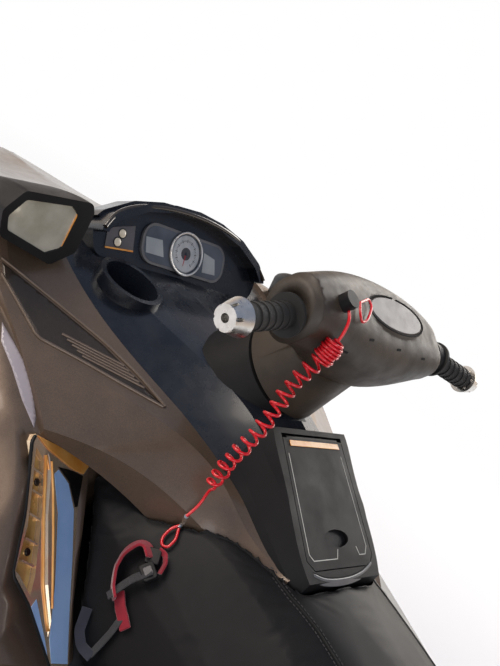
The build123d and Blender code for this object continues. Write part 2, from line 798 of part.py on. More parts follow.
with BuildPart() as handlebar_tube:
    with BuildLine(STEER_PLANE.offset(BAR_HEIGHT)) as bar_line:
        FilletPolyline(
            (-BAR_SWEEP, BAR_END_Y),
            (0, BAR_BEND_Y),
            (0, -BAR_BEND_Y),
            (-BAR_SWEEP, -BAR_END_Y),
            radius=60,
        )
    with BuildSketch(Plane(origin=bar_line.line @ 0, z_dir=bar_line.line % 0)):
        Circle(BAR_R)
    sweep()
handlebar_tube.part.label = "handlebar_tube"

def cover_section(y, aft, fore, low, high):
    """Rounded section of the handlebar cover at y, square to the bar."""
    plane = Plane(
        origin=STEER_PLANE.from_local_coords(Vector((aft + fore) / 2, y, (low + high) / 2)),
        x_dir=STEER_PLANE.x_dir,
        z_dir=(0, -1, 0),
    )
    with BuildSketch(plane) as section:
        RectangleRounded(fore - aft, high - low, COVER_ROUND * min(fore - aft, high - low))
    return section.sketch


with BuildPart() as handlebar_cover:
    loft(sections=[cover_section(*row) for row in COVER_STATIONS])
    # neck down to the boot on the column
    with BuildSketch(STEER_PLANE):
        Circle(COLLAR_R)
    with BuildSketch(STEER_PLANE.offset(100)):
        Ellipse(62, 74)
    loft()
    # raised oval pad, and the round flange on the port end
    with BuildSketch(STEER_PLANE.offset(PAD_Z[0])):
        with Locations(PAD_CENTRE):
            Ellipse(*PAD_SIZE)
    extrude(amount=PAD_Z[1] - PAD_Z[0])
    end_y = COVER_STATIONS[0][0]
    flange_base = STEER_PLANE.from_local_coords(Vector(0, end_y - 4, BAR_HEIGHT))
    with Locations(Plane(origin=flange_base, z_dir=(0, 1, 0))):
        Cylinder(FLANGE_R, 11, align=(Align.CENTER, Align.CENTER, Align.MIN))
    flange_face = STEER_PLANE.from_local_coords(Vector(0, end_y + 2, BAR_HEIGHT))
    with Locations(Plane(origin=flange_face, z_dir=(0, 1, 0))):
        Cylinder(
            FLANGE_RECESS_R,
            14,
            align=(Align.CENTER, Align.CENTER, Align.MIN),
            mode=Mode.SUBTRACT,
        )
    with Locations(STEER_PLANE):
        Cylinder(STEM_R + SEAT_GAP, 2 * (STEM_ABOVE + SEAT_GAP), mode=Mode.SUBTRACT)
    add(handlebar_tube.part, mode=Mode.SUBTRACT)
handlebar_cover.part.label = "handlebar_cover"


def bar_end_plane(side, inboard):
    """Plane across the bar, a distance in from its end; its normal points outboard."""
    run = (-BAR_SWEEP, side * (BAR_END_Y - BAR_BEND_Y))
    length = (run[0] ** 2 + run[1] ** 2) ** 0.5
    ux, uy = run[0] / length, run[1] / length
    base = STEER_PLANE.from_local_coords(
        Vector(-BAR_SWEEP - ux * inboard, side * BAR_END_Y - uy * inboard, BAR_HEIGHT)
    )
    tip = STEER_PLANE.from_local_coords(
        Vector(-BAR_SWEEP - ux * inboard + ux, side * BAR_END_Y - uy * inboard + uy, BAR_HEIGHT)
    )
    return Plane(origin=base, z_dir=tip - base, x_dir=STEER_PLANE.x_dir)


with BuildPart() as grips:
    for side in (1, -1):
        with Locations(bar_end_plane(side, GRIP_LENGTH)):
            Cylinder(GRIP_R, GRIP_LENGTH - 2, align=(Align.CENTER, Align.CENTER, Align.MIN))
            Cylinder(GRIP_FLANGE_R, 5, align=(Align.CENTER, Align.CENTER, Align.MIN))
        for index in range(GRIP_RING_COUNT):
            inboard = 12 + index * (GRIP_LENGTH - 30) / (GRIP_RING_COUNT - 1)
            with Locations(bar_end_plane(side, inboard)):
                Cylinder(GRIP_R + 1.5, 5)
        with Locations(bar_end_plane(side, GRIP_LENGTH)):
            Cylinder(BAR_R + RUN_GAP, 2 * GRIP_LENGTH, mode=Mode.SUBTRACT)
grips.part.label = "grips"

with BuildPart() as bar_ends:
    for side in (1, -1):
        with Locations(bar_end_plane(side, 0)):
            Cone(BAR_END_R, BAR_END_R - 8, 26, align=(Align.CENTER, Align.CENTER, Align.MIN))
            Cylinder(6, 60, mode=Mode.SUBTRACT)
            with PolarLocations(BAR_END_R - 7, 6):
                Cylinder(2.5, 60, mode=Mode.SUBTRACT)
bar_ends.part.label = "bar_ends"

with BuildPart() as lever_bracket:
    with Locations(bar_end_plane(-1, GRIP_LENGTH + 20)):
        Cylinder(26, 19, align=(Align.CENTER, Align.CENTER, Align.MIN))
        Cylinder(BAR_R + RUN_GAP, 100, mode=Mode.SUBTRACT)
    add(handlebar_cover.part, mode=Mode.SUBTRACT)
lever_bracket.part.label = "lever_bracket"

# Instrument pod
pod_half = ((0, -46), (190, -36), (198, -8), (178, 15), (122, 46), (60, 62), (0, 67))
pod_outline = list(pod_half) + [(-x, y) for x, y in reversed(pod_half) if x != 0]
POD_ROUND = 10


def pod_face(level, grow):
    """The pod's outline with round corners, enlarged by grow, at a level on its plane."""
    with BuildSketch(POD_PLANE.offset(level)) as face:
        with BuildLine():
            Polyline(*pod_outline, close=True)
        make_face()
        fillet(face.vertices(), POD_ROUND)
        if grow:
            offset(amount=grow)
    return face.sketch


with BuildPart() as pod_brow:
    extrude(pod_face(0, HOOD_RIM), amount=HOOD_RIM_H)
    extrude(pod_face(0, 0), amount=HOOD_RIM_H, mode=Mode.SUBTRACT)
    with BuildSketch(POD_PLANE):
        with Locations((0, -60)):
            Rectangle(500, 100)
    extrude(amount=HOOD_RIM_H, mode=Mode.SUBTRACT)

with BuildPart() as instrument_pod:
    extrude(pod_face(0, HOOD_RIM), amount=-POD_DEPTH)
    add(pod_brow.part)
    add(cockpit_cowl.part, mode=Mode.SUBTRACT)
    add(side_cowls.part, mode=Mode.SUBTRACT)
    add(body_core.part, mode=Mode.SUBTRACT)
instrument_pod.part.label = "instrument_pod"

with BuildPart() as gauge_unit:
    with BuildSketch(POD_PLANE):
        RectangleRounded(214, 76, 30)
    extrude(amount=5)
    with BuildSketch(POD_PLANE.offset(5)):
        Circle(DIAL_R + 4)
        Circle(DIAL_R, mode=Mode.SUBTRACT)
    extrude(amount=4)
gauge_unit.part.label = "gauge_unit"

with BuildPart() as gauge_lens:
    with BuildSketch(POD_PLANE.offset(5 + SEAT_GAP)):
        Circle(DIAL_R - SEAT_GAP)
    extrude(amount=2)
gauge_lens.part.label = "gauge_lens"

with BuildPart() as wind_visor:
    visor_depth = POD_DEPTH - 20
    extrude(pod_face(-visor_depth - 10, HOOD_RIM + VISOR_T), amount=visor_depth)
    with BuildSketch(POD_PLANE.offset(-visor_depth - 10)):
        with Locations((0, -52)):
            Rectangle(500, 140)
    extrude(amount=visor_depth, mode=Mode.SUBTRACT)
    add(instrument_pod.part, mode=Mode.SUBTRACT)
    add(cockpit_cowl.part, mode=Mode.SUBTRACT)
wind_visor.part.label = "wind_visor"

# Mirrors
def mirror_face(depth, share, points, rounding, grow=0):
    """A mirror outline with round corners, scaled by share, at a depth behind its plane."""
    with BuildSketch(MIRROR_PLANE.offset(-depth)) as face:
        with BuildLine():
            Polyline(*[(x * share, y * share) for x, y in points], close=True)
        make_face()
        fillet(face.vertices(), rounding * share)
        if grow:
            offset(amount=grow)
    return face.sketch


with BuildPart() as mirror_housings:
    loft(
        sections=[
            mirror_face(depth * MIRROR_DEPTH, share, SHELL_OUTLINE, SHELL_ROUND)
            for depth, share in ((0, 1), (0.5, 0.9), (1, 0.6))
        ]
    )
    glass_recess = GLASS_T + GLASS_SUNK + SEAT_GAP
    glass_seat = mirror_face(0, 1, GLASS_OUTLINE, GLASS_ROUND, SEAT_GAP)
    extrude(glass_seat, amount=-glass_recess, mode=Mode.SUBTRACT)
    for piece in (side_cowls, cockpit_cowl, instrument_pod, body_core):
        add(piece.part, mode=Mode.SUBTRACT)
    mirror(about=Plane.XZ)
mirror_housings.part.label = "mirror_housings"

with BuildPart() as mirror_glasses:
    extrude(mirror_face(GLASS_T + GLASS_SUNK, 1, GLASS_OUTLINE, GLASS_ROUND), amount=GLASS_T)
    mirror(about=Plane.XZ)
mirror_glasses.part.label = "mirror_glasses"

# Bow hood
with BuildPart() as hood_space:
    loft(
        sections=[
            across(
                x,
                (
                    (0, rim - 30),
                    (hy - HOOD_WALL, rim - 30),
                    (hy - HOOD_WALL, ez - 3),
                    (cy - HOOD_WALL / 2, cz - HOOD_WALL),
                    (0, z - HOOD_WALL),
                ),
            )
            for x, hy, rim, ez, cy, cz, z in HOOD_STATIONS
        ]
    )
    hood_inside = (HOOD_STATIONS[0][0] + HOOD_WALL, HOOD_STATIONS[-1][0] - HOOD_WALL)
    add(box(hood_inside, (-400, 400), (500, 1000)), mode=Mode.INTERSECT)

with BuildPart() as bow_hood:
    loft(
        sections=[
            across(x, ((0, rim), (hy, rim), (hy, ez), (cy, cz), (0, z)))
            for x, hy, rim, ez, cy, cz, z in HOOD_STATIONS
        ]
    )
    add(hood_space.part, mode=Mode.SUBTRACT)
    # knuckle on the hinge pin, with its web up to the skin
    knuckle_y = (-HOOD_BARREL_HALF, HOOD_BARREL_HALF)
    knuckle_x = (HOOD_HINGE[0] - HOOD_BARREL_R, HOOD_HINGE[0] + HOOD_BARREL_R)
    add(box(knuckle_x, knuckle_y, (HOOD_HINGE[1], HOOD_STATIONS[-1][6] - HOOD_WALL / 2)))
    with Locations(Plane(origin=(HOOD_HINGE[0], 0, HOOD_HINGE[1]), z_dir=(0, 1, 0))):
        Cylinder(HOOD_BARREL_R, 2 * HOOD_BARREL_HALF)
        Cylinder(HOOD_PIN_R + RUN_GAP, 400, mode=Mode.SUBTRACT)
bow_hood.part.label = "bow_hood"

# Seats
with BuildPart() as seat_front:
    add(seat_front_form)
    for piece in (pedestal_room, deck_form, side_cowls, cockpit_cowl, console):
        add(piece.part, mode=Mode.SUBTRACT)
    add(below_slope.part, mode=Mode.SUBTRACT)
    add(mirror(below_slope.part, about=Plane.XZ, mode=Mode.PRIVATE), mode=Mode.SUBTRACT)
    add(largest(seat_front.part), mode=Mode.REPLACE)
seat_front.part.label = "seat_front"

with BuildPart() as seat_rear:
    add(seat_form(REAR_SEAT_STATIONS))
    add(pedestal_room.part, mode=Mode.SUBTRACT)
    add(box((SEAT_SPLIT_X - SEAT_GAP, 0), (-400, 400), (500, 1000)), mode=Mode.SUBTRACT)
seat_rear.part.label = "seat_rear"

# Wrist strap and buckle of the lanyard, lying on the seat's flank
def on_flank(points, thickness):
    """Piece of the seat's flank skin, as thick as stated, inside an outline seen from the side."""
    with BuildPart() as patch:
        add(seat_form(SEAT_STATIONS, thickness))
        with BuildSketch(Plane.XZ.offset(-400)):
            with BuildLine():
                Polyline(*points, close=True)
            make_face()
        extrude(amount=260, mode=Mode.INTERSECT)
        add(seat_front_form, mode=Mode.SUBTRACT)
    return patch.part


with BuildPart() as lanyard_buckle:
    add(on_flank(BUCKLE_OUTLINE, BUCKLE_T))
lanyard_buckle.part.label = "lanyard_buckle"

with BuildPart() as wrist_strap:
    add(on_flank(STRAP_OUTLINE, STRAP_T))
    add(on_flank(TAIL_OUTLINE, STRAP_T))
    add(lanyard_buckle.part, mode=Mode.SUBTRACT)
    add(largest(wrist_strap.part), mode=Mode.REPLACE)
wrist_strap.part.label = "wrist_strap"

with BuildPart() as lanyard_clip:
    with Locations(STEER_PLANE * Pos(CLIP_AT[0], CLIP_AT[1], COVER_STATIONS[0][4] - 8)):
        Cylinder(CLIP_R, CLIP_H + 8, align=(Align.CENTER, Align.CENTER, Align.MIN))
    add(handlebar_cover.part, mode=Mode.SUBTRACT)
    add(largest(lanyard_clip.part), mode=Mode.REPLACE)
lanyard_clip.part.label = "lanyard_clip"


def bend_radii(points):
    """Radius for each bend of a cord's route, from its shorter run and its turn."""
    radii = []
    for before, here, after in zip(points, points[1:], points[2:]):
        run_in = Vector(*here) - Vector(*before)
        run_out = Vector(*after) - Vector(*here)
        half_turn = radians(run_in.get_angle(run_out)) / 2
        radii.append(0.45 * min(run_in.length, run_out.length) / tan(half_turn))
    return radii


def cord_run(points, radius):
    """Round cord along straight runs joined by tangent arcs."""
    with BuildPart() as run:
        with BuildLine() as route:
            FilletPolyline(*points, radius=bend_radii(points))
        with BuildSketch(Plane(origin=route.line @ 0, z_dir=route.line % 0)):
            Circle(radius)
        sweep()
    return run.part


with BuildPart() as lanyard_cord:
    add(cord_run(LEAD_POINTS, CORD_R))
    add(cord_run(COIL_POINTS, COIL_R))
    add(cord_run(TAIL_POINTS, CORD_R))
    add(lanyard_clip.part, mode=Mode.SUBTRACT)
    add(lanyard_buckle.part, mode=Mode.SUBTRACT)
    add(largest(lanyard_cord.part), mode=Mode.REPLACE)
lanyard_cord.part.label = "lanyard_cord"

# Side accents on the fender slopes
with BuildPart() as side_accents:
    extrude(accent_face(ACCENT_T - SEAT_GAP, 0), amount=ACCENT_T - SEAT_GAP)
    with BuildSketch(ACCENT_PLANE):
        with BuildLine():
            Polyline(*GILL_OUTLINE, close=True)
        make_face()
    extrude(amount=-GILL_DEPTH, mode=Mode.SUBTRACT)
    with BuildSketch(ACCENT_PLANE.offset(-GILL_DEPTH)):
        with Locations(*FIN_CENTRES):
            Rectangle(*FIN_SIZE, rotation=-20)
    extrude(amount=GILL_DEPTH)
    with BuildSketch(ACCENT_PLANE.offset(-GILL_DEPTH)):
        with Locations(*SCREW_CENTRES):
            Circle(5)
    extrude(amount=3)
    with BuildSketch(ACCENT_PLANE):
        with BuildLine():
            Polyline(*RIDGE_OUTLINE, close=True)
        make_face()
    extrude(amount=RIDGE_H, taper=30)
    for piece in (front_body, side_cowls, deck):
        add(piece.part, mode=Mode.SUBTRACT)
    add(largest(side_accents.part), mode=Mode.REPLACE)
    mirror(about=Plane.XZ)
side_accents.part.label = "side_accents"

# Rear grab handle
with BuildPart() as rear_grab_handle:
    with BuildLine() as handle_line:
        FilletPolyline(
            (PEDESTAL_X[0] - 0.1, HANDLE_HALF, HANDLE_ROOT_Z),
            (HANDLE_REAR_X, HANDLE_HALF, HANDLE_TOP_Z),
            (HANDLE_REAR_X, -HANDLE_HALF, HANDLE_TOP_Z),
            (PEDESTAL_X[0] - 0.1, -HANDLE_HALF, HANDLE_ROOT_Z),
            radius=45,
        )
    with BuildSketch(Plane(origin=handle_line.line @ 0, z_dir=handle_line.line % 0)):
        Circle(HANDLE_R)
    sweep()
    add(deck.part, mode=Mode.SUBTRACT)
rear_grab_handle.part.label = "rear_grab_handle"

# Rear platform mat and footwell mats
with BuildPart() as traction_mats:
    with BuildPart(mode=Mode.PRIVATE) as skin:
        loft(
            sections=[
                across(
                    x,
                    (
                        (0, gz),
                        (gy - 70, gz),
                        (gy - 70, gz + DECK_RISE + MAT_T),
                        (0, gz + DECK_RISE + MAT_T),
                    ),
                )
                for x, kz, py, pz, cy, cz, gy, gz in HULL_STATIONS
            ]
        )
        add(box((TRANSOM_X + 30, WELL_X[0] - 30), (-430, 430), (400, 700)), mode=Mode.INTERSECT)
    add(skin.part)
    add(deck_form.part, mode=Mode.SUBTRACT)
    add(hull_form.part, mode=Mode.SUBTRACT)
    add(largest(traction_mats.part), mode=Mode.REPLACE)
    for side in (1, -1):
        add(
            box(
                (WELL_X[0] + WELL_RAMP + 20, WELL_X[1] - 20),
                sorted((side * (WELL_Y[0] + 8), side * (WELL_Y[1] - 8))),
                (WELL_FLOOR, WELL_FLOOR + MAT_T),
            )
        )
traction_mats.part.label = "traction_mats"

# Sponsons
with BuildPart() as sponsons:
    for side in (1, -1):
        add(box((-1450, -950), sorted((side * 440, side * 548)), (225, 262)))
    add(hull_form.part, mode=Mode.SUBTRACT)
sponsons.part.label = "sponsons"

# Pump, shaft, impeller, nozzle and bucket
PUMP_PLANE = Plane(origin=(0, 0, PUMP_Z), x_dir=(0, 1, 0), z_dir=(1, 0, 0))
with BuildPart() as pump_housing:
    with Locations(PUMP_PLANE.offset(PUMP_REAR_X)):
        Cylinder(
            PUMP_OUTER_R,
            PUMP_FRONT_X - PUMP_REAR_X,
            align=(Align.CENTER, Align.CENTER, Align.MIN),
        )
    with BuildSketch(PUMP_PLANE.offset(CONE_REAR_X)):
        Circle(CONE_BORE_R + CONE_WALL)
    with BuildSketch(PUMP_PLANE.offset(PUMP_REAR_X)):
        Circle(PUMP_OUTER_R)
    loft()
    # mounting plate, square to the tunnel
    add(
        box(
            (PUMP_FRONT_X - FLANGE_T, PUMP_FRONT_X),
            (-TUNNEL_HALF + SEAT_GAP, TUNNEL_HALF - SEAT_GAP),
            (PLATE_T + SEAT_GAP, TUNNEL_ROOF - SEAT_GAP),
        )
    )
    with BuildSketch(PUMP_PLANE.offset(CONE_REAR_X - 1)):
        Circle(CONE_BORE_R)
    with BuildSketch(PUMP_PLANE.offset(PUMP_REAR_X)):
        Circle(PUMP_BORE_R)
    loft(mode=Mode.SUBTRACT)
    with Locations(PUMP_PLANE.offset(PUMP_REAR_X)):
        Cylinder(
            PUMP_BORE_R,
            PUMP_FRONT_X - PUMP_REAR_X + 10,
            align=(Align.CENTER, Align.CENTER, Align.MIN),
            mode=Mode.SUBTRACT,
        )
    # stator vanes and their hub, which carries the rear end of the shaft
    with Locations(PUMP_PLANE.offset(PUMP_REAR_X)):
        Cylinder(HUB_R, STATOR_FRONT_X - PUMP_REAR_X, align=(Align.CENTER, Align.CENTER, Align.MIN))
        with PolarLocations(0, VANE_COUNT):
            Box(
                PUMP_BORE_R + 2,
                VANE_T,
                STATOR_FRONT_X - PUMP_REAR_X - 6,
                align=(Align.MIN, Align.CENTER, Align.MIN),
            )
        Cylinder(
            SHAFT_R + RUN_GAP,
            200,
            mode=Mode.SUBTRACT,
        )
    # ears for the bucket and lugs for the nozzle
    for side in (1, -1):
        add(
            box(
                (BUCKET_PIVOT_X - 16, PUMP_REAR_X + 10),
                sorted((side * EAR_Y, side * (EAR_Y + EAR_T))),
                (PUMP_Z - 14, PUMP_Z + 14),
            )
        )
        add(
            box(
                (PUMP_REAR_X, PUMP_REAR_X + 10),
                sorted((side * (PUMP_BORE_R + 4), side * (EAR_Y + EAR_T))),
                (PUMP_Z - 14, PUMP_Z + 14),
            )
        )
        with Locations(Plane(origin=(BUCKET_PIVOT_X, side * EAR_Y, PUMP_Z), z_dir=(0, side, 0))):
            Cylinder(BUCKET_PIN_R, 16, align=(Align.CENTER, Align.CENTER, Align.MIN))
        lug_z = PUMP_Z + side * (NOZZLE_RING_R + 6)
        add(
            box(
                (STEER_PIVOT_X - 12, PUMP_REAR_X + 10),
                (-14, 14),
                sorted((lug_z, lug_z + side * 8)),
            )
        )
        with Locations(Plane(origin=(STEER_PIVOT_X, 0, lug_z + side * 4), z_dir=(0, 0, -side))):
            Cylinder(NOZZLE_PIN_R, NOZZLE_PIN_L, align=(Align.CENTER, Align.CENTER, Align.MIN))
pump_housing.part.label = "pump_housing"

with BuildPart() as impeller:
    with Locations(PUMP_PLANE.offset(PUMP_REAR_X + 10)):
        Cylinder(
            SHAFT_R,
            SHAFT_FRONT_X - PUMP_REAR_X - 10,
            align=(Align.CENTER, Align.CENTER, Align.MIN),
        )
    with Locations(PUMP_PLANE.offset(STATOR_FRONT_X + MOVE_GAP)):
        Cylinder(HUB_R, 90, align=(Align.CENTER, Align.CENTER, Align.MIN))
    blade_x = STATOR_FRONT_X + MOVE_GAP + 10
    for index in range(BLADE_COUNT):
        turn = index * 360 / BLADE_COUNT
        faces = []
        for step in range(4):
            with BuildSketch(PUMP_PLANE.offset(blade_x + step * 22)) as blade:
                with Locations(Rot(0, 0, turn + step * 24)):
                    with Locations((HUB_R - 4, 0)):
                        Rectangle(IMPELLER_R - HUB_R + 4, 7, align=(Align.MIN, Align.CENTER))
            faces.append(blade.sketch)
        loft(sections=faces)
impeller.part.label = "impeller"

with BuildPart() as steer_nozzle:
    with BuildSketch(PUMP_PLANE.offset(NOZZLE_OUT_X)):
        Circle(NOZZLE_OUT_R + NOZZLE_WALL)
    with BuildSketch(PUMP_PLANE.offset(STEER_PIVOT_X + NOZZLE_PIN_R + NOZZLE_AHEAD)):
        Circle(NOZZLE_RING_R)
    loft()
    with BuildSketch(PUMP_PLANE.offset(NOZZLE_OUT_X)):
        Circle(NOZZLE_OUT_R)
    with BuildSketch(PUMP_PLANE.offset(STEER_PIVOT_X + NOZZLE_PIN_R + NOZZLE_AHEAD)):
        Circle(NOZZLE_RING_R - NOZZLE_WALL)
    loft(mode=Mode.SUBTRACT)
    with Locations(Plane(origin=(STEER_PIVOT_X, 0, PUMP_Z))):
        Cylinder(NOZZLE_PIN_R + RUN_GAP, 300, mode=Mode.SUBTRACT)
steer_nozzle.part.label = "steer_nozzle"

def bucket_point(radius, angle):
    """Point in the bucket's side view, at a radius and an angle up from straight aft."""
    return (radius * cos(radians(angle)), radius * sin(radians(angle)))


def bucket_plane(y):
    """Side view of the bucket at y, with aft to the right."""
    return Plane(origin=(BUCKET_PIVOT_X, y, PUMP_Z), x_dir=(-1, 0, 0), z_dir=(0, 1, 0))


BUCKET_END_DEG = BUCKET_START_DEG + BUCKET_SPAN_DEG
BUCKET_INNER_R = BUCKET_R - BUCKET_WALL
with BuildPart() as reverse_bucket:
    with BuildSketch(bucket_plane(-BUCKET_CHEEK_Y - BUCKET_WALL)):
        with BuildLine():
            CenterArc((0, 0), BUCKET_R, BUCKET_START_DEG, BUCKET_SPAN_DEG)
            CenterArc((0, 0), BUCKET_INNER_R, BUCKET_START_DEG, BUCKET_SPAN_DEG)
            for angle in (BUCKET_START_DEG, BUCKET_END_DEG):
                Line(bucket_point(BUCKET_R, angle), bucket_point(BUCKET_INNER_R, angle))
        make_face()
    extrude(amount=2 * (BUCKET_CHEEK_Y + BUCKET_WALL))
    for start in (-BUCKET_CHEEK_Y - BUCKET_WALL, BUCKET_CHEEK_Y):
        with BuildSketch(bucket_plane(start)):
            with BuildLine():
                Polyline(
                    (-16, -8),
                    (14, -14),
                    bucket_point(BUCKET_INNER_R + 2, BUCKET_START_DEG),
                    bucket_point(BUCKET_R - 1, (BUCKET_START_DEG + BUCKET_END_DEG) / 2),
                    bucket_point(BUCKET_INNER_R + 2, BUCKET_END_DEG),
                    close=True,
                )
            make_face()
        extrude(amount=BUCKET_WALL)
    with Locations(Plane(origin=(BUCKET_PIVOT_X, 0, PUMP_Z), z_dir=(0, 1, 0))):
        Cylinder(BUCKET_PIN_R + RUN_GAP, 400, mode=Mode.SUBTRACT)
reverse_bucket.part.label = "reverse_bucket"

# Ride plate and intake grate
with BuildPart() as ride_plate:
    add(
        box(
            (PLATE_REAR_X, PLATE_FRONT_X),
            (-TUNNEL_HALF + SEAT_GAP, TUNNEL_HALF - SEAT_GAP),
            (0, PLATE_T),
        )
    )
ride_plate.part.label = "ride_plate"

with BuildPart() as intake_grate:
    grate_half = TUNNEL_HALF - SEAT_GAP
    add(box((PLATE_FRONT_X + SEAT_GAP, GRATE_FRONT_X + 30), (-grate_half, grate_half), (0, PLATE_T)))
    open_half = grate_half - 15
    add(
        box((PLATE_FRONT_X + 25, GRATE_FRONT_X - 20), (-open_half, open_half), (-5, PLATE_T + 5)),
        mode=Mode.SUBTRACT,
    )
    for index in range(GRATE_BAR_COUNT):
        y = -open_half + (index + 1) * 2 * open_half / (GRATE_BAR_COUNT + 1)
        add(
            box(
                (PLATE_FRONT_X + 15, GRATE_FRONT_X - 10),
                (y - GRATE_BAR_W / 2, y + GRATE_BAR_W / 2),
                (0, PLATE_T),
            )
        )
    add(hull.part, mode=Mode.SUBTRACT)
intake_grate.part.label = "intake_grate"

# Engine, one plain block
with BuildPart() as engine_block:
    add(box(ENGINE_X, (-ENGINE_HALF, ENGINE_HALF), ENGINE_Z))
engine_block.part.label = "engine_block"

# Eyes for the trailer straps
with BuildPart() as bow_eye:
    add(box((BOW_EYE_X - 24, BOW_EYE_X + 24), (-5, 5), (BOW_EYE_Z - 18, BOW_EYE_Z + 55)))
    add(hull_form.part, mode=Mode.SUBTRACT)
    with Locations(Plane(origin=(BOW_EYE_X, 0, BOW_EYE_Z), z_dir=(0, 1, 0))):
        Cylinder(EYE_BORE_R, 40, mode=Mode.SUBTRACT)
bow_eye.part.label = "bow_eye"

with BuildPart() as stern_eyes:
    for side in (1, -1):
        add(box((TRANSOM_X - 40, TRANSOM_X), sorted((side * 345, side * 355)), (280, 320)))
        with Locations(Plane(origin=(TRANSOM_X - 24, side * 350, 300), z_dir=(0, 1, 0))):
            Cylinder(EYE_BORE_R, 40, mode=Mode.SUBTRACT)
stern_eyes.part.label = "stern_eyes"

# Boarding step
with BuildPart() as step_brackets:
    for side in (1, -1):
        lug_y = sorted((side * STEP_LUG_Y, side * (STEP_LUG_Y + STEP_LUG_T)))
        add(box((STEP_PIVOT_X - 12, TRANSOM_X), lug_y, (STEP_PIVOT_Z - 16, STEP_PIVOT_Z + 16)))
        pin_root = (STEP_PIVOT_X, side * (STEP_LUG_Y + 2), STEP_PIVOT_Z)
        with Locations(Plane(origin=pin_root, z_dir=(0, -side, 0))):
            Cylinder(STEP_PIN_R, 30, align=(Align.CENTER, Align.CENTER, Align.MIN))
step_brackets.part.label = "step_brackets"

with BuildPart() as boarding_step:
    with BuildLine() as step_line:
        FilletPolyline(
            (STEP_PIVOT_X, STEP_HALF, STEP_PIVOT_Z - 14),
            (STEP_PIVOT_X, STEP_HALF, STEP_PIVOT_Z + STEP_RISE),
            (STEP_PIVOT_X, -STEP_HALF, STEP_PIVOT_Z + STEP_RISE),
            (STEP_PIVOT_X, -STEP_HALF, STEP_PIVOT_Z - 14),
            radius=30,
        )
    with BuildSketch(Plane(origin=step_line.line @ 0, z_dir=step_line.line % 0)):
        Circle(STEP_TUBE_R)
    sweep()
    with Locations(Plane(origin=(STEP_PIVOT_X, 0, STEP_PIVOT_Z), z_dir=(0, 1, 0))):
        Cylinder(STEP_PIN_R + RUN_GAP, 400, mode=Mode.SUBTRACT)
boarding_step.part.label = "boarding_step"

pieces = [
    hull, deck, front_body, gunwale_bumper, side_cowls, cockpit_cowl, console, glovebox_lid,
    steering_column, handlebar_stem, handlebar_cover, handlebar_tube, grips, bar_ends,
    lever_bracket, instrument_pod, gauge_unit, gauge_lens, wind_visor, mirror_housings,
    mirror_glasses, bow_hood, seat_front, seat_rear, lanyard_clip, lanyard_cord, lanyard_buckle,
    wrist_strap, side_accents, rear_grab_handle,
    traction_mats, sponsons, pump_housing, impeller, steer_nozzle, reverse_bucket,
    ride_plate, intake_grate, engine_block, bow_eye, stern_eyes, step_brackets,
    boarding_step,
]
for piece in pieces:
    export_step(piece.part, f"parts/{piece.part.label}.step")
    print(piece.part.label, len(piece.part.solids()), piece.part.is_valid)
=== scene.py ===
import math

import bmesh
import bpy
from mathutils import Matrix, Vector
from mathutils.bvhtree import BVHTree


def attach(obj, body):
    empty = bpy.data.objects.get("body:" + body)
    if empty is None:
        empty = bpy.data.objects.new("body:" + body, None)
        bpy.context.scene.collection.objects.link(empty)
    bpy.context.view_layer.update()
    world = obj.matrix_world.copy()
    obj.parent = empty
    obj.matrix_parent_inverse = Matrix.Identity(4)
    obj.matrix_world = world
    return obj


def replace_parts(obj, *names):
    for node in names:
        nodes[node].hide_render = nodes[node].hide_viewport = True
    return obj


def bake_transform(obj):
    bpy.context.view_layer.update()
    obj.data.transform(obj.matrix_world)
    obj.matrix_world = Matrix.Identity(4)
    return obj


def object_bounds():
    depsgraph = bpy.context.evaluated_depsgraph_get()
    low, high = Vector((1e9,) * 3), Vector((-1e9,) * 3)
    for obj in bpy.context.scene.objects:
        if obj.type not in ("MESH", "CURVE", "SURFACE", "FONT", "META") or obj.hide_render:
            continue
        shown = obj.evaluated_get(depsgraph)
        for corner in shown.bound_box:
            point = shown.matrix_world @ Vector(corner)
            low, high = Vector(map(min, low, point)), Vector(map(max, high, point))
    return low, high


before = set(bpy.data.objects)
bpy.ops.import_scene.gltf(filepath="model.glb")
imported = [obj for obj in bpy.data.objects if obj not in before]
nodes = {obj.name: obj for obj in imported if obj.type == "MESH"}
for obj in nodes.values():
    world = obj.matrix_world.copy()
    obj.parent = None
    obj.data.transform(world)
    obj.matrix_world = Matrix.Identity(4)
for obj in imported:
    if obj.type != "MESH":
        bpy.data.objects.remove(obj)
cad_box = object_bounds()

# Camera

PHOTO_W, PHOTO_H = 500, 666
FOCAL_PX = 749.03
CAMERA_AT = Vector((-0.1631, 0.9516, 1.3693))
CAMERA_RIGHT = Vector((-0.47727785, -0.64703236, 0.59460489))
CAMERA_DOWN = Vector((-0.67355667, -0.16521571, -0.72043402))
CAMERA_AHEAD = Vector((0.56438220, -0.74434729, -0.35695916))

camera_data = bpy.data.cameras.new("camera")
camera_data.sensor_width = 36
camera_data.lens = FOCAL_PX / PHOTO_H * 36
camera_data.clip_start = 0.02
camera_data.clip_end = 60
camera = bpy.data.objects.new("camera", camera_data)
bpy.context.scene.collection.objects.link(camera)
turn = Matrix((CAMERA_RIGHT, -CAMERA_DOWN, -CAMERA_AHEAD)).transposed()
camera.matrix_world = Matrix.Translation(CAMERA_AT) @ turn.to_4x4()
bpy.context.scene.camera = camera
bpy.context.scene.view_settings.view_transform = "Standard"


# Node helpers

def new_material(name):
    material = bpy.data.materials.new(name)
    material.use_nodes = True
    tree = material.node_tree
    return material, tree, tree.nodes["Principled BSDF"]


def object_coords(tree, scale=(1, 1, 1)):
    """Object coordinates, which are the row frame's, stretched by scale."""
    coords = tree.nodes.new("ShaderNodeTexCoord")
    mapping = tree.nodes.new("ShaderNodeMapping")
    mapping.inputs["Scale"].default_value = scale
    tree.links.new(coords.outputs["Object"], mapping.inputs["Vector"])
    return mapping.outputs["Vector"]


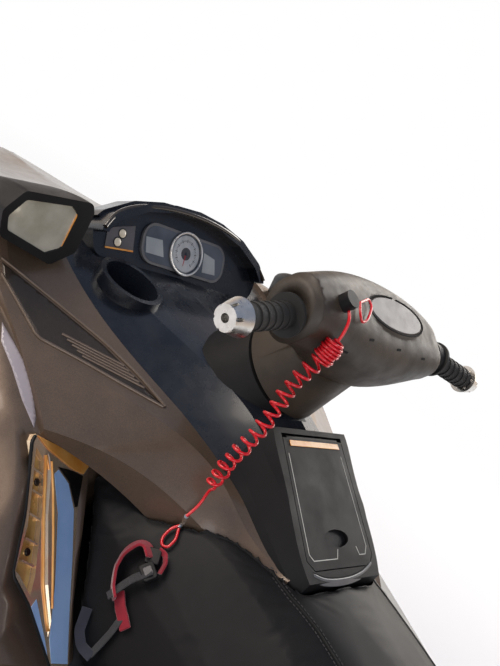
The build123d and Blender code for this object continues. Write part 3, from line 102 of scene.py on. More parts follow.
def noise_of(tree, vector, scale, detail=4, roughness=0.55):
    made = tree.nodes.new("ShaderNodeTexNoise")
    made.inputs["Scale"].default_value = scale
    made.inputs["Detail"].default_value = detail
    made.inputs["Roughness"].default_value = roughness
    tree.links.new(vector, made.inputs["Vector"])
    return made.outputs["Fac"]


def ramp(tree, value, low, high, start=0.35, end=0.65):
    made = tree.nodes.new("ShaderNodeValToRGB")
    made.color_ramp.elements[0].position = start
    made.color_ramp.elements[1].position = end
    made.color_ramp.elements[0].color = (*low, 1)
    made.color_ramp.elements[1].color = (*high, 1)
    tree.links.new(value, made.inputs["Fac"])
    return made.outputs["Color"]


def spread(tree, value, low, high, start=0.3, end=0.7):
    made = tree.nodes.new("ShaderNodeMapRange")
    made.inputs["From Min"].default_value = start
    made.inputs["From Max"].default_value = end
    made.inputs["To Min"].default_value = low
    made.inputs["To Max"].default_value = high
    tree.links.new(value, made.inputs["Value"])
    return made.outputs["Result"]


def mixed(tree, factor, a, b):
    """Colour a where factor is 0 and b where it is 1; each is a socket or a colour."""
    made = tree.nodes.new("ShaderNodeMix")
    made.data_type = "RGBA"
    for socket, value in ((made.inputs["Factor"], factor), (made.inputs[6], a), (made.inputs[7], b)):
        if isinstance(value, bpy.types.NodeSocket):
            tree.links.new(value, socket)
        elif isinstance(value, tuple):
            socket.default_value = (*value, 1)
        else:
            socket.default_value = value
    return made.outputs[2]


def maths(tree, kind, a, b=None):
    made = tree.nodes.new("ShaderNodeMath")
    made.operation = kind
    for socket, value in zip(made.inputs, (a, b)):
        if isinstance(value, bpy.types.NodeSocket):
            tree.links.new(value, socket)
        elif value is not None:
            socket.default_value = value
    return made.outputs[0]


def bump(tree, shader, height, distance, strength=1.0):
    made = tree.nodes.new("ShaderNodeBump")
    made.inputs["Strength"].default_value = strength
    made.inputs["Distance"].default_value = distance
    tree.links.new(height, made.inputs["Height"])
    tree.links.new(made.outputs["Normal"], shader.inputs["Normal"])


def surface(name, dark, light, rough=(0.4, 0.5), metallic=0.0, mottle=9, grain=None,
            coat=None, sheen=None, specular=0.5, dust=None, stretch=(1, 1, 1)):
    """A finish mottled between two colours. grain is (scale, depth in m), coat (weight, roughness),
    sheen (weight, roughness), dust (colour, share) lies where the surface faces up."""
    material, tree, shader = new_material(name)
    vector = object_coords(tree, stretch)
    broad = noise_of(tree, vector, mottle, 5)
    colour = ramp(tree, broad, dark, light)
    if dust:
        geometry = tree.nodes.new("ShaderNodeNewGeometry")
        parts = tree.nodes.new("ShaderNodeSeparateXYZ")
        tree.links.new(geometry.outputs["Normal"], parts.inputs[0])
        upward = spread(tree, parts.outputs["Z"], 0, 1, 0.2, 1.0)
        patches = spread(tree, noise_of(tree, vector, 26, 8, 0.7), 0, dust[1], 0.42, 0.68)
        colour = mixed(tree, maths(tree, "MULTIPLY", upward, patches), colour, dust[0])
    tree.links.new(colour, shader.inputs["Base Color"])
    smear = noise_of(tree, vector, mottle * 2.3, 6, 0.65)
    tree.links.new(spread(tree, smear, *rough), shader.inputs["Roughness"])
    shader.inputs["Metallic"].default_value = metallic
    shader.inputs["Specular IOR Level"].default_value = specular
    if coat:
        shader.inputs["Coat Weight"].default_value = coat[0]
        shader.inputs["Coat Roughness"].default_value = coat[1]
    if sheen:
        shader.inputs["Sheen Weight"].default_value = sheen[0]
        shader.inputs["Sheen Roughness"].default_value = sheen[1]
    if grain:
        bump(tree, shader, noise_of(tree, vector, grain[0], 3), grain[1])
    return material


# Finishes

def flake_paint(name, dark, light):
    """Metallic paint: fine flakes under a clear coat, with faint dust and handling marks."""
    material, tree, shader = new_material(name)
    vector = object_coords(tree)
    flakes = tree.nodes.new("ShaderNodeTexVoronoi")
    flakes.inputs["Scale"].default_value = 1500
    tree.links.new(vector, flakes.inputs["Vector"])
    parts = tree.nodes.new("ShaderNodeSeparateColor")
    tree.links.new(flakes.outputs["Color"], parts.inputs["Color"])
    glint = spread(tree, parts.outputs["Red"], 0, 0.5, 0.2, 1.0)
    paint = ramp(tree, noise_of(tree, vector, 5, 4), dark, light)
    paint = mixed(tree, glint, paint, tuple(min(1, 1.5 * c) for c in light))
    dust = spread(tree, noise_of(tree, vector, 34, 8, 0.7), 0, 0.06, 0.5, 0.75)
    paint = mixed(tree, dust, paint, (0.3, 0.24, 0.18))
    tree.links.new(paint, shader.inputs["Base Color"])
    shader.inputs["Metallic"].default_value = 0.55
    smear = noise_of(tree, vector, 14, 7, 0.7)
    tree.links.new(spread(tree, smear, 0.28, 0.46), shader.inputs["Roughness"])
    shader.inputs["Coat Weight"].default_value = 0.55
    shader.inputs["Coat Roughness"].default_value = 0.12
    bump(tree, shader, noise_of(tree, vector, 60, 2), 0.0002)
    return material


def glass(name, tint, rough=0.02):
    material, tree, shader = new_material(name)
    vector = object_coords(tree)
    shader.inputs["Base Color"].default_value = (*tint, 1)
    shader.inputs["Transmission Weight"].default_value = 1.0
    shader.inputs["IOR"].default_value = 1.45
    tree.links.new(spread(tree, noise_of(tree, vector, 40, 6), rough, rough + 0.06),
                   shader.inputs["Roughness"])
    return material


finishes = {
    "bronze": flake_paint("bronze", (0.115, 0.08, 0.058), (0.14, 0.098, 0.07)),
    "hull_gelcoat": surface("hull_gelcoat", (0.024, 0.024, 0.026), (0.03, 0.03, 0.032), (0.24, 0.29),
                            coat=(0.5, 0.08), mottle=6),
    "deck_black": surface("deck_black", (0.013, 0.014, 0.018), (0.02, 0.021, 0.026), (0.25, 0.42),
                          coat=(0.3, 0.15), dust=((0.2, 0.17, 0.14), 0.05)),
    "cockpit_black": surface("cockpit_black", (0.006, 0.008, 0.013), (0.011, 0.014, 0.021),
                             (0.2, 0.36), coat=(0.3, 0.12), dust=((0.2, 0.2, 0.22), 0.04), specular=0.35),
    "bumper_rubber": surface("bumper_rubber", (0.014, 0.014, 0.015), (0.024, 0.023, 0.023),
                             (0.55, 0.75), grain=(900, 0.0001)),
    "matte_black": surface("matte_black", (0.007, 0.007, 0.008), (0.012, 0.012, 0.013),
                           (0.4, 0.58), grain=(1400, 0.00008), dust=((0.25, 0.21, 0.17), 0.04),
                           specular=0.22),
    "cover_brown": surface("cover_brown", (0.022, 0.016, 0.011), (0.042, 0.03, 0.021),
                           (0.4, 0.62), grain=(1600, 0.0001), dust=((0.26, 0.18, 0.11), 0.16),
                           mottle=16),
    "grip_rubber": surface("grip_rubber", (0.01, 0.01, 0.01), (0.02, 0.019, 0.018), (0.55, 0.75),
                           grain=(1500, 0.0001)),
    "machined": surface("machined", (0.62, 0.6, 0.57), (0.78, 0.76, 0.73), (0.22, 0.42), 1.0,
                        mottle=60, grain=(400, 0.00005)),
    "steel": surface("steel", (0.5, 0.5, 0.5), (0.64, 0.64, 0.64), (0.22, 0.36), 1.0, mottle=40),
    "gauge_grey": surface("gauge_grey", (0.1, 0.1, 0.105), (0.14, 0.14, 0.145), (0.35, 0.5),
                          grain=(1500, 0.00006)),
    "lens": glass("lens", (0.95, 0.97, 0.98)),
    "mirror_glass": surface("mirror_glass", (0.7, 0.66, 0.52), (1.0, 0.95, 0.8), (0.04, 0.12), 0.55,
                            mottle=18, coat=(1.0, 0.02)),
    "vinyl": surface("vinyl", (0.006, 0.006, 0.007), (0.0085, 0.0085, 0.0095), (0.44, 0.54),
                     grain=(900, 0.00012), dust=((0.2, 0.17, 0.15), 0.02), mottle=4, specular=0.18),
    # Chrome trim: real metal, its warm tint a painted warm reflection
    "chrome_trim": surface("chrome_trim", (0.78, 0.58, 0.38), (0.86, 0.7, 0.52), (0.12, 0.22), 0.75,
                           mottle=30),
    "mat_rubber": surface("mat_rubber", (0.02, 0.02, 0.021), (0.034, 0.034, 0.035), (0.6, 0.8),
                          grain=(700, 0.0002)),
    "cast_alu": surface("cast_alu", (0.36, 0.37, 0.38), (0.5, 0.51, 0.52), (0.38, 0.55), 0.9,
                        mottle=25, grain=(500, 0.0002)),
    "engine_grey": surface("engine_grey", (0.15, 0.15, 0.16), (0.2, 0.2, 0.21), (0.5, 0.6)),
}

SLOTS = {name: node.data.materials[0].name.split(".")[0] for name, node in nodes.items()}
for name, node in nodes.items():
    for material_slot in node.material_slots:
        if SLOTS[name] in finishes:
            material_slot.material = finishes[SLOTS[name]]


# Planes of the craft, in metres, as in the CAD

def plane_at(origin, x_dir, normal):
    """Matrix of a plane: x along x_dir, z along the normal."""
    z = Vector(normal).normalized()
    x = Vector(x_dir)
    x = (x - z * x.dot(z)).normalized()
    made = Matrix((x, z.cross(x), z)).transposed().to_4x4()
    made.translation = Vector(origin)
    return made


LID_TILT = math.radians(23.65)
STEER = plane_at((0.455, 0, 0.93), (0.907, 0, 0.42), (-0.42, 0, 0.907))
POD = plane_at((0.8, 0, 0.895), (0, -1, 0), (-0.8, 0, 0.6))
LID = plane_at((0.163, 0, 0.821), (math.cos(LID_TILT), 0, math.sin(LID_TILT)),
               (-math.sin(LID_TILT), 0, math.cos(LID_TILT)))
ACCENT = plane_at((0.35, 0.31, 0.65), (-0.1768, 0.9538, 0.243), (-0.561, -0.3005, 0.7714))
MIRROR = plane_at((0.718, 0.345, 0.9), (0.162, -0.987, 0), (-0.956, -0.157, 0.246))
MM = 0.001

surfaces = {}


def surface_of(name):
    """Search tree of a CAD node, or of a piece that stands for it."""
    if name not in surfaces:
        mesh = (bpy.data.objects.get(name) or nodes[name]).data
        surfaces[name] = BVHTree.FromPolygons([v.co for v in mesh.vertices],
                                              [p.vertices for p in mesh.polygons])
    return surfaces[name]


def seen_at(pixel, name):
    """Where the photo's line of sight through a pixel meets a node: the point and its normal."""
    across_px, down_px = pixel[0] - PHOTO_W / 2, pixel[1] - PHOTO_H / 2
    aim = CAMERA_AHEAD + CAMERA_RIGHT * (across_px / FOCAL_PX) + CAMERA_DOWN * (down_px / FOCAL_PX)
    point, normal, _, _ = surface_of(name).ray_cast(CAMERA_AT, aim.normalized())
    if point is None:
        raise ValueError(f"no point of {name} behind {pixel}")
    return point, normal if normal.dot(aim) < 0 else -normal


def piece(name, mesh, material, body, sharp=30):
    """A new mesh piece that rides on a body."""
    obj = bpy.data.objects.new(name, mesh)
    bpy.context.scene.collection.objects.link(obj)
    mesh.materials.append(material)
    for polygon in mesh.polygons:
        polygon.use_smooth = True
    mesh.set_sharp_from_angle(angle=math.radians(sharp))
    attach(obj, body)
    return obj


def add_mirrored(bm):
    """Adds the starboard twin of everything in bm."""
    twin = bmesh.ops.duplicate(bm, geom=bm.verts[:] + bm.edges[:] + bm.faces[:])["geom"]
    for vert in [g for g in twin if isinstance(g, bmesh.types.BMVert)]:
        vert.co.y = -vert.co.y
    bmesh.ops.reverse_faces(bm, faces=[g for g in twin if isinstance(g, bmesh.types.BMFace)])


def mesh_from(bm, name, mirrored=False):
    if mirrored:
        add_mirrored(bm)
    mesh = bpy.data.meshes.new(name)
    bm.to_mesh(mesh)
    bm.free()
    return mesh


def prism(bm, plane, outline, low, high):
    """Adds a prism of an outline in mm on a plane, from low to high along its normal."""
    rings = []
    for level in (low, high):
        ring = [bm.verts.new(plane @ (Vector((x, y, level)) * MM)) for x, y in outline]
        rings.append(ring)
    area = sum(a[0] * b[1] - b[0] * a[1] for a, b in zip(outline, outline[1:] + outline[:1]))
    if area < 0:
        rings = [list(reversed(ring)) for ring in rings]
    bm.faces.new(reversed(rings[0]))
    bm.faces.new(rings[1])
    for i in range(len(outline)):
        j = (i + 1) % len(outline)
        bm.faces.new((rings[0][i], rings[0][j], rings[1][j], rings[1][i]))


def plates(name, plane, outlines, low, high, material, body, bevel=0.4, mirrored=False):
    """Flat pieces with softened edges, from outlines in mm on a plane."""
    bm = bmesh.new()
    for outline in outlines:
        prism(bm, plane, list(outline), low, high)
    made = piece(name, mesh_from(bm, name, mirrored), material, body)
    softened = made.modifiers.new("edges", "BEVEL")
    softened.width = bevel * MM
    softened.segments = 2
    softened.limit_method = "ANGLE"
    return made


def circle(centre, radius, count=40, squash_y=1.0):
    return [
        (centre[0] + radius * math.cos(math.tau * i / count),
         centre[1] + radius * squash_y * math.sin(math.tau * i / count))
        for i in range(count)
    ]


def rounded(width, height, radius, centre=(0, 0), count=7):
    """Outline of a rectangle with round corners."""
    points = []
    for corner, (sx, sy) in enumerate(((1, 1), (-1, 1), (-1, -1), (1, -1))):
        cx, cy = centre[0] + sx * (width / 2 - radius), centre[1] + sy * (height / 2 - radius)
        for i in range(count):
            angle = math.radians(90 * corner + 90 * i / (count - 1))
            points.append((cx + radius * math.cos(angle), cy + radius * math.sin(angle)))
    return points


def turned(name, plane, centre, profile, material, body, count=48):
    """Piece turned about the plane's normal at centre; the profile is (radius, height) in mm."""
    bm = bmesh.new()
    rings = []
    for radius, height in profile:
        ring = [
            bm.verts.new(plane @ (Vector((x, y, height)) * MM))
            for x, y in circle(centre, max(radius, 0.01), count)
        ]
        rings.append(ring)
    for low, high in zip(rings, rings[1:]):
        for i in range(count):
            j = (i + 1) % count
            bm.faces.new((low[i], low[j], high[j], high[i]))
    bmesh.ops.recalc_face_normals(bm, faces=bm.faces[:])
    return piece(name, mesh_from(bm, name), material, body, 40)


def curve_piece(name, lines, radius, material, body, mirrored=False, order=3, deep=4):
    """Round bars of a radius in metres along smooth lines."""
    data = bpy.data.curves.new(name, "CURVE")
    data.dimensions = "3D"
    data.bevel_depth = radius
    data.bevel_resolution = deep
    data.resolution_u = 6
    data.use_fill_caps = True
    if mirrored:
        lines = list(lines) + [[Vector((p[0], -p[1], p[2])) for p in line] for line in lines]
    for line in lines:
        spline = data.splines.new("NURBS")
        spline.points.add(len(line) - 1)
        for target, point in zip(spline.points, line):
            target.co = (*point, 1)
        spline.order_u = order
        spline.use_endpoint_u = True
    data.materials.append(material)
    obj = bpy.data.objects.new(name, data)
    bpy.context.scene.collection.objects.link(obj)
    if body:
        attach(obj, body)
    return obj


def along(pixels, count):
    """Evenly spread pixels along a run of pixels."""
    lengths = [math.dist(a, b) for a, b in zip(pixels, pixels[1:])]
    made = []
    for k in range(count):
        rest = sum(lengths) * k / (count - 1)
        for (a, b), length in zip(zip(pixels, pixels[1:]), lengths):
            if rest <= length + 1e-6:
                share = min(1, rest / length)
                made.append((a[0] + (b[0] - a[0]) * share, a[1] + (b[1] - a[1]) * share))
                break
            rest -= length
    return made


def traced(pixels, name, lift, count=12):
    """Points above a node, behind a run of the photo's pixels."""
    hits = [seen_at(pixel, name) for pixel in along(pixels, count)]
    return [point + normal * lift * MM for point, normal in hits]


def traced_patch(name, outline, node, lift, thick, material, body, step=5, mirrored=False):
    """Thin skin on a node behind an outline of the photo's pixels."""
    bm = bmesh.new()
    face = bm.faces.new([bm.verts.new((x, y, 0)) for x, y in outline])
    bmesh.ops.triangulate(bm, faces=[face])
    for _ in range(8):
        long_edges = [edge for edge in bm.edges if edge.calc_length() > step]
        if not long_edges:
            break
        bmesh.ops.subdivide_edges(bm, edges=long_edges, cuts=1)
        bmesh.ops.triangulate(bm, faces=bm.faces[:])
    for vert in bm.verts:
        point, normal = seen_at((vert.co.x, vert.co.y), node)
        vert.co = point + normal * lift * MM
    bmesh.ops.recalc_face_normals(bm, faces=bm.faces[:])
    if sum((face.normal.dot(CAMERA_AHEAD) * face.calc_area() for face in bm.faces)) > 0:
        bmesh.ops.reverse_faces(bm, faces=bm.faces[:])
    made = piece(name, mesh_from(bm, name, mirrored), material, body, 60)
    shell = made.modifiers.new("shell", "SOLIDIFY")
    shell.thickness = thick * MM
    shell.offset = -1
    return made


def ribbon(name, points, normals, width, thick, material, body):
    """Flat band through points, its face along normals; sizes in mm, with softened edges."""
    bm = bmesh.new()
    rings = []
    for i, (point, normal) in enumerate(zip(points, normals)):
        ahead = points[min(i + 1, len(points) - 1)] - points[max(i - 1, 0)]
        side = ahead.cross(normal).normalized()
        up = side.cross(ahead).normalized()
        rings.append([
            bm.verts.new(point + side * (sx * width / 2 * MM) + up * (sz * thick / 2 * MM))
            for sx, sz in ((-1, -1), (1, -1), (1, 1), (-1, 1))
        ])
    for low, high in zip(rings, rings[1:]):
        for i in range(4):
            j = (i + 1) % 4
            bm.faces.new((low[i], low[j], high[j], high[i]))
    bm.faces.new(rings[0])
    bm.faces.new(rings[-1])
    bmesh.ops.recalc_face_normals(bm, faces=bm.faces[:])
    made = piece(name, mesh_from(bm, name), material, body, 50)
    softened = made.modifiers.new("edges", "BEVEL")
    softened.width = thick * 0.3 * MM
    softened.segments = 3
    softened.limit_method = "ANGLE"
    softened.angle_limit = math.radians(50)
    return made


def smooth_line(points, count):
    """Evenly stepped points of the smooth spline through control points."""
    data = bpy.data.curves.new("guide", "CURVE")
    data.dimensions = "3D"
    data.resolution_u = 24
    spline = data.splines.new("NURBS")
    spline.points.add(len(points) - 1)
    for target, point in zip(spline.points, points):
        target.co = (*point, 1)
    spline.order_u = 3
    spline.use_endpoint_u = True
    guide = bpy.data.objects.new("guide", data)
    line = [v.co.copy() for v in bpy.data.meshes.new_from_object(guide).vertices]
    bpy.data.objects.remove(guide)
    steps = [0.0]
    for a, b in zip(line, line[1:]):
        steps.append(steps[-1] + (b - a).length)
    made = []
    k = 0
    for i in range(count):
        goal = steps[-1] * i / (count - 1)
        while k < len(line) - 2 and steps[k + 1] < goal:
            k += 1
        share = (goal - steps[k]) / max(steps[k + 1] - steps[k], 1e-9)
        made.append(line[k].lerp(line[k + 1], min(1, share)))
    return made, steps[-1]


# Moulded panels: the CAD's shapes with shading that flows over their soft facets

MOULDED = {"front_body": 40, "bow_hood": 40, "handlebar_cover": 40}
for name, angle in MOULDED.items():
    bm = bmesh.new()
    bm.from_mesh(nodes[name].data)
    bmesh.ops.remove_doubles(bm, verts=bm.verts[:], dist=0.00002)
    shell = bpy.data.meshes.new(name + "_moulded")
    bm.to_mesh(shell)
    bm.free()
    shell.materials.clear()
    body = "handlebar" if name == "handlebar_cover" else "bow_hood" if name == "bow_hood" else "hull"
    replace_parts(piece(name + "_moulded", shell, finishes[SLOTS[name]], body, angle), name)


# Finishes of the small pieces

def woven(name, dark, light, thread):
    """Webbing: crossing threads of a width in metres."""
    material, tree, shader = new_material(name)
    vector = object_coords(tree)
    tree.links.new(ramp(tree, noise_of(tree, vector, 60, 4), dark, light), shader.inputs["Base Color"])
    shader.inputs["Roughness"].default_value = 0.75
    shader.inputs["Sheen Weight"].default_value = 0.3
    waves = []
    for direction in ("X", "Z"):
        wave = tree.nodes.new("ShaderNodeTexWave")
        wave.bands_direction = direction
        wave.inputs["Scale"].default_value = 0.31 / thread
        wave.inputs["Distortion"].default_value = 0.4
        tree.links.new(vector, wave.inputs["Vector"])
        waves.append(wave.outputs["Fac"])
    bump(tree, shader, maths(tree, "MULTIPLY", *waves), 0.0004)
    return material


def screen(name, colour, edge):
    """Glossy display with a faint gradient."""
    material, tree, shader = new_material(name)
    vector = object_coords(tree)
    tree.links.new(ramp(tree, noise_of(tree, vector, 18, 2), colour, edge), shader.inputs["Base Color"])
    tree.links.new(spread(tree, noise_of(tree, vector, 60, 6), 0.12, 0.24), shader.inputs["Roughness"])
    shader.inputs["Coat Weight"].default_value = 0.6
    return material


finishes.update({
    "cord_red": surface("cord_red", (0.58, 0.004, 0.012), (0.72, 0.008, 0.02), (0.22, 0.36),
                        coat=(0.4, 0.12), mottle=40),
    "strap_red": surface("strap_red", (0.2, 0.002, 0.012), (0.3, 0.004, 0.02), (0.7, 0.85),
                         grain=(1300, 0.00025), sheen=(0.5, 0.4), mottle=30),
})
for name in ("lanyard_cord", "wrist_strap"):
    for material_slot in nodes[name].material_slots:
        material_slot.material = finishes[SLOTS[name]]
# Painted light on the side cowls: a shaded copy of the bronze paint for the recess (painted shade) and a
# lit copy for its bevel lines (painted highlight)
cowl_painted_shade = flake_paint("cowl_painted_shade", (0.03, 0.022, 0.017), (0.045, 0.033, 0.025))
cowl_painted_highlight = flake_paint("cowl_painted_highlight", (0.12, 0.087, 0.064), (0.16, 0.118, 0.088))
# Pale lavender colour of the band laid on the fender
pale_band_colour = surface("pale_band_colour", (0.3, 0.27, 0.3), (0.38, 0.34, 0.37), (0.3, 0.42), coat=(0.5, 0.1))
webbing = woven("webbing", (0.01, 0.01, 0.012), (0.02, 0.02, 0.024), 0.0012)
webbing_navy = woven("webbing_navy", (0.008, 0.01, 0.022), (0.014, 0.017, 0.034), 0.0012)
thread = surface("thread", (0.035, 0.033, 0.034), (0.05, 0.047, 0.048), (0.6, 0.7), mottle=200)
gap_black = surface("gap_black", (0.002, 0.002, 0.002), (0.004, 0.004, 0.004), (0.8, 0.9))
dial_silver = surface("dial_silver", (0.72, 0.73, 0.75), (0.84, 0.84, 0.85), (0.3, 0.4), mottle=80)
dial_ink = surface("dial_ink", (0.02, 0.02, 0.03), (0.03, 0.03, 0.04), (0.4, 0.5), mottle=80)
needle_red = surface("needle_red", (0.6, 0.01, 0.01), (0.7, 0.02, 0.015), (0.3, 0.4), mottle=80)
panel_grey = surface("panel_grey", (0.07, 0.065, 0.07), (0.1, 0.092, 0.098), (0.3, 0.45), mottle=20,
                     grain=(1400, 0.00005))
display_blue = screen("display_blue", (0.05, 0.06, 0.075), (0.09, 0.1, 0.12))
display_pale = screen("display_pale", (0.3, 0.32, 0.33), (0.4, 0.42, 0.42))
indicator_pale = surface("indicator_pale", (0.72, 0.62, 0.46), (0.84, 0.76, 0.6), (0.2, 0.35),
                         coat=(0.6, 0.05), mottle=60)
amber = surface("amber", (0.75, 0.28, 0.04), (0.85, 0.4, 0.08), (0.15, 0.3), coat=(0.6, 0.05), mottle=30)
line_white = surface("line_white", (0.55, 0.54, 0.5), (0.66, 0.65, 0.6), (0.4, 0.55), mottle=60)
lip_grey = surface("lip_grey", (0.1, 0.105, 0.115), (0.15, 0.155, 0.165), (0.28, 0.42), mottle=30,
                   coat=(0.3, 0.2))
# Painted reflections on the chrome accent: sky blue, warm orange, gold and near-black colours stand in for
# what the chrome mirrors; the near-black one also colours the accent's dark screws
painted_sky_reflection = surface("painted_sky_reflection", (0.3, 0.5, 0.86), (0.4, 0.6, 0.95), (0.1, 0.2), 0.2, mottle=8,
                     coat=(0.8, 0.04))
painted_warm_reflection = surface("painted_warm_reflection", (0.75, 0.3, 0.05), (0.9, 0.48, 0.14), (0.1, 0.24), 0.3, mottle=24,
                      coat=(0.8, 0.05))
painted_gold_reflection = surface("painted_gold_reflection", (0.4, 0.23, 0.06), (0.62, 0.4, 0.14), (0.16, 0.32), 0.4, mottle=20,
                      coat=(0.5, 0.08))
dark_metal_and_painted_reflection = surface("dark_metal_and_painted_reflection", (0.03, 0.027, 0.025), (0.06, 0.05, 0.045), (0.14, 0.3), 0.8,
                      mottle=20)

# Lanyard: the cord leaves its clip, is wound in a bundle and a stretched coil, and ends in a crimp.
# The points are the CAD's route, in mm.
LEAD = ((351, 137, 1115), (334, 141, 1110), (326, 145, 1058))
COIL = ((332, 158, 1003), (309, 172, 927), (311, 180, 859), (308, 170, 794))
TAIL = ((301, 174, 776), (297, 189, 759))
CORD_R = 2.25 * MM
COIL_TURNS = 15
COIL_R = 10.4 * MM
BUNDLE_TURNS = 7
BUNDLE_R = 13.5 * MM
BUNDLE_PITCH = 4.8 * MM
POINTS_PER_TURN = 14
LEAD_LENGTH = 0.044
COIL_END = 0.325
BUNDLE_EASE = 20 * MM
START_EASE = 6 * MM
END_EASE = 8 * MM
WOBBLE = 0.09

ROUTE_POINTS = 400
route, route_length = smooth_line([Vector(p) * MM for p in LEAD + COIL + TAIL], ROUTE_POINTS)
route_step = route_length / (ROUTE_POINTS - 1)


def on_route(distance):
    """Point and direction at a distance along the route."""
    place = min(max(distance / route_step, 0), ROUTE_POINTS - 1.001)
    k = int(place)
    return route[k].lerp(route[k + 1], place - k), (route[k + 1] - route[k]).normalized()


def coil_radius(distance, start, end):
    """The bundle's radius eases into the stretched coil's, and both ends close in."""
    bundle = BUNDLE_TURNS * BUNDLE_PITCH
    share = min(1, max(0, distance - start - bundle) / BUNDLE_EASE)
    size = BUNDLE_R + (COIL_R - BUNDLE_R) * share
    return size * min(1, (distance - start) / START_EASE, (end - distance) / END_EASE)


cord_points = [on_route(LEAD_LENGTH * k / 6)[0] for k in range(6)]
turn_at, place, side = 0.0, LEAD_LENGTH, Vector((0, 0, 1))
stretch_pitch = (COIL_END - LEAD_LENGTH - BUNDLE_TURNS * BUNDLE_PITCH) / COIL_TURNS
while place < COIL_END:
    centre, ahead = on_route(place)
    side = (side - ahead * side.dot(ahead)).normalized()
    radius = max(0, coil_radius(place, LEAD_LENGTH, COIL_END))
    around = Matrix.Rotation(turn_at, 3, ahead) @ side
    wobble = 1 + WOBBLE * math.sin(turn_at * 0.37)
    cord_points.append(centre + around * radius * wobble)
    turn_at += math.tau / POINTS_PER_TURN
    bundled = place < LEAD_LENGTH + BUNDLE_TURNS * BUNDLE_PITCH
    place += (BUNDLE_PITCH if bundled else stretch_pitch) / POINTS_PER_TURN
cord_points += [on_route(COIL_END + (route_length - COIL_END) * k / 5)[0] for k in range(1, 6)]
wound = curve_piece("lanyard_curve", [cord_points], CORD_R, finishes["cord_red"], None, deep=2)
wound.data.resolution_u = 3
lanyard = bpy.data.objects.new("lanyard_coil", bpy.data.meshes.new_from_object(wound))
bpy.context.scene.collection.objects.link(lanyard)
bpy.data.objects.remove(wound)
for polygon in lanyard.data.polygons:
    polygon.use_smooth = True
lanyard_path, lanyard_length = smooth_line(cord_points, 2 * len(cord_points))
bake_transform(lanyard)
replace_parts(lanyard, "lanyard_cord")

# What hangs on it lies on the seat's flank: crimp, loop, buckle, neoprene band and webbing.
# The places are pixels of the photo, traced onto the seat.
CRIMP_PX = ((191, 516), (179, 529))
LOOP_PX = ((180, 527), (172, 529), (163, 538), (161, 547), (168, 549), (176, 541), (179, 530))
BAND_PX = ((152, 560), (149, 548), (140, 544), (128, 552), (119, 568), (116, 588), (118, 600))
BAND_FLAT_PX = ((121, 592), (122, 608), (125, 620), (127, 630))
ARC_PX = ((160, 552), (166, 557), (166, 566), (160, 576))
STRAP_ACROSS_PX = ((153, 574), (138, 579), (126, 587), (112, 597))
STRAP_TAIL_PX = ((126, 614), (112, 634), (93, 654))
STRAP_FOLD_PX = ((95, 656), (85, 645), (83, 628), (90, 608))
BUCKLE_PX = (149, 574)
BUCKLE_TOWARDS_PX = (113, 594)
TAB_PX = (154, 558)


def laid(pixels, lift, count=14):
    """Points over the seat's flank behind a run of pixels."""
    hits = [seen_at(pixel, "seat_front") for pixel in along(pixels, count)]
    return [p + n * lift * MM for p, n in hits]


STRAP_POINTS = 40


def strap(name, pixels, lift, width, thick, material, tilt=0):
    """Smooth flat band on the seat's flank; tilt in degrees stands it on edge."""
    points, _ = smooth_line(laid(pixels, lift, 2 * len(pixels)), STRAP_POINTS)
    normals = []
    for i, point in enumerate(points):
        _, normal, _, _ = surface_of("seat_front").find_nearest(point)
        ahead = points[min(i + 1, STRAP_POINTS - 1)] - points[max(i - 1, 0)]
        normals.append(Matrix.Rotation(math.radians(tilt), 3, ahead) @ normal)
    return ribbon(name, points, normals, width, thick, material, "hull")


def laid_plane(pixel, towards, lift):
    point, normal = seen_at(pixel, "seat_front")
    ahead, _ = seen_at(towards, "seat_front")
    return plane_at(point + normal * lift * MM, ahead - point, normal)


crimp = curve_piece("lanyard_crimp", [[route[-1]] + laid(CRIMP_PX, 5, 4)[1:]], 0.003,
                    finishes["steel"], "hull")
loop = curve_piece("lanyard_loop", [laid(LOOP_PX, 5, 12)], 0.002, finishes["cord_red"], "hull")
band = strap("wrist_band", BAND_PX, 10, 20, 4, finishes["strap_red"], 55)
strap("wrist_band_flat", BAND_FLAT_PX, 5, 17, 4, finishes["strap_red"], 12)
strap("wrist_band_end", ARC_PX, 8, 9, 3, finishes["strap_red"], 50)
strap("webbing_across", STRAP_ACROSS_PX, 13, 12, 1.6, webbing, 20)
strap("webbing_tail", STRAP_TAIL_PX, 5, 11, 1.6, webbing, 15)
strap("webbing_fold", STRAP_FOLD_PX, 7, 14, 1.6, webbing_navy, 30)
buckle_plane = laid_plane(BUCKLE_PX, BUCKLE_TOWARDS_PX, 3)
buckle = plates("buckle_body", buckle_plane, [rounded(21, 24, 4)], 0, 9, finishes["matte_black"],
                "hull", 1.2)
plates("buckle_tab", laid_plane(TAB_PX, BUCKLE_PX, 3), [rounded(22, 20, 3)], 0, 7,
       finishes["matte_black"], "hull", 1.0)
plates("buckle_latch", buckle_plane, [rounded(12, 12, 2)], 9, 11, panel_grey, "hull",
       0.6)
CLIP_LOOP_PX = ((357, 304), (366, 300), (369, 309), (365, 320), (359, 324), (357, 315), (357, 304))
clip_loop_hits = [seen_at(pixel, "handlebar_cover") for pixel in along(CLIP_LOOP_PX, 14)]
curve_piece("lanyard_clip_loop", [[p + n * 5 * MM for p, n in clip_loop_hits]], 0.0019,
            finishes["cord_red"], "handlebar")
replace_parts(band, "wrist_strap")
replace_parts(buckle, "lanyard_buckle")


# Seats: foam blocks under tight vinyl, made in cloth and then stitched

VOXEL = 4.5 * MM
SHRINK = 5.5 * MM
SWELL_CAP = 4 * MM
CLOTH_FRAMES = 12
PRESSURE = 4
STIFFNESS = 40


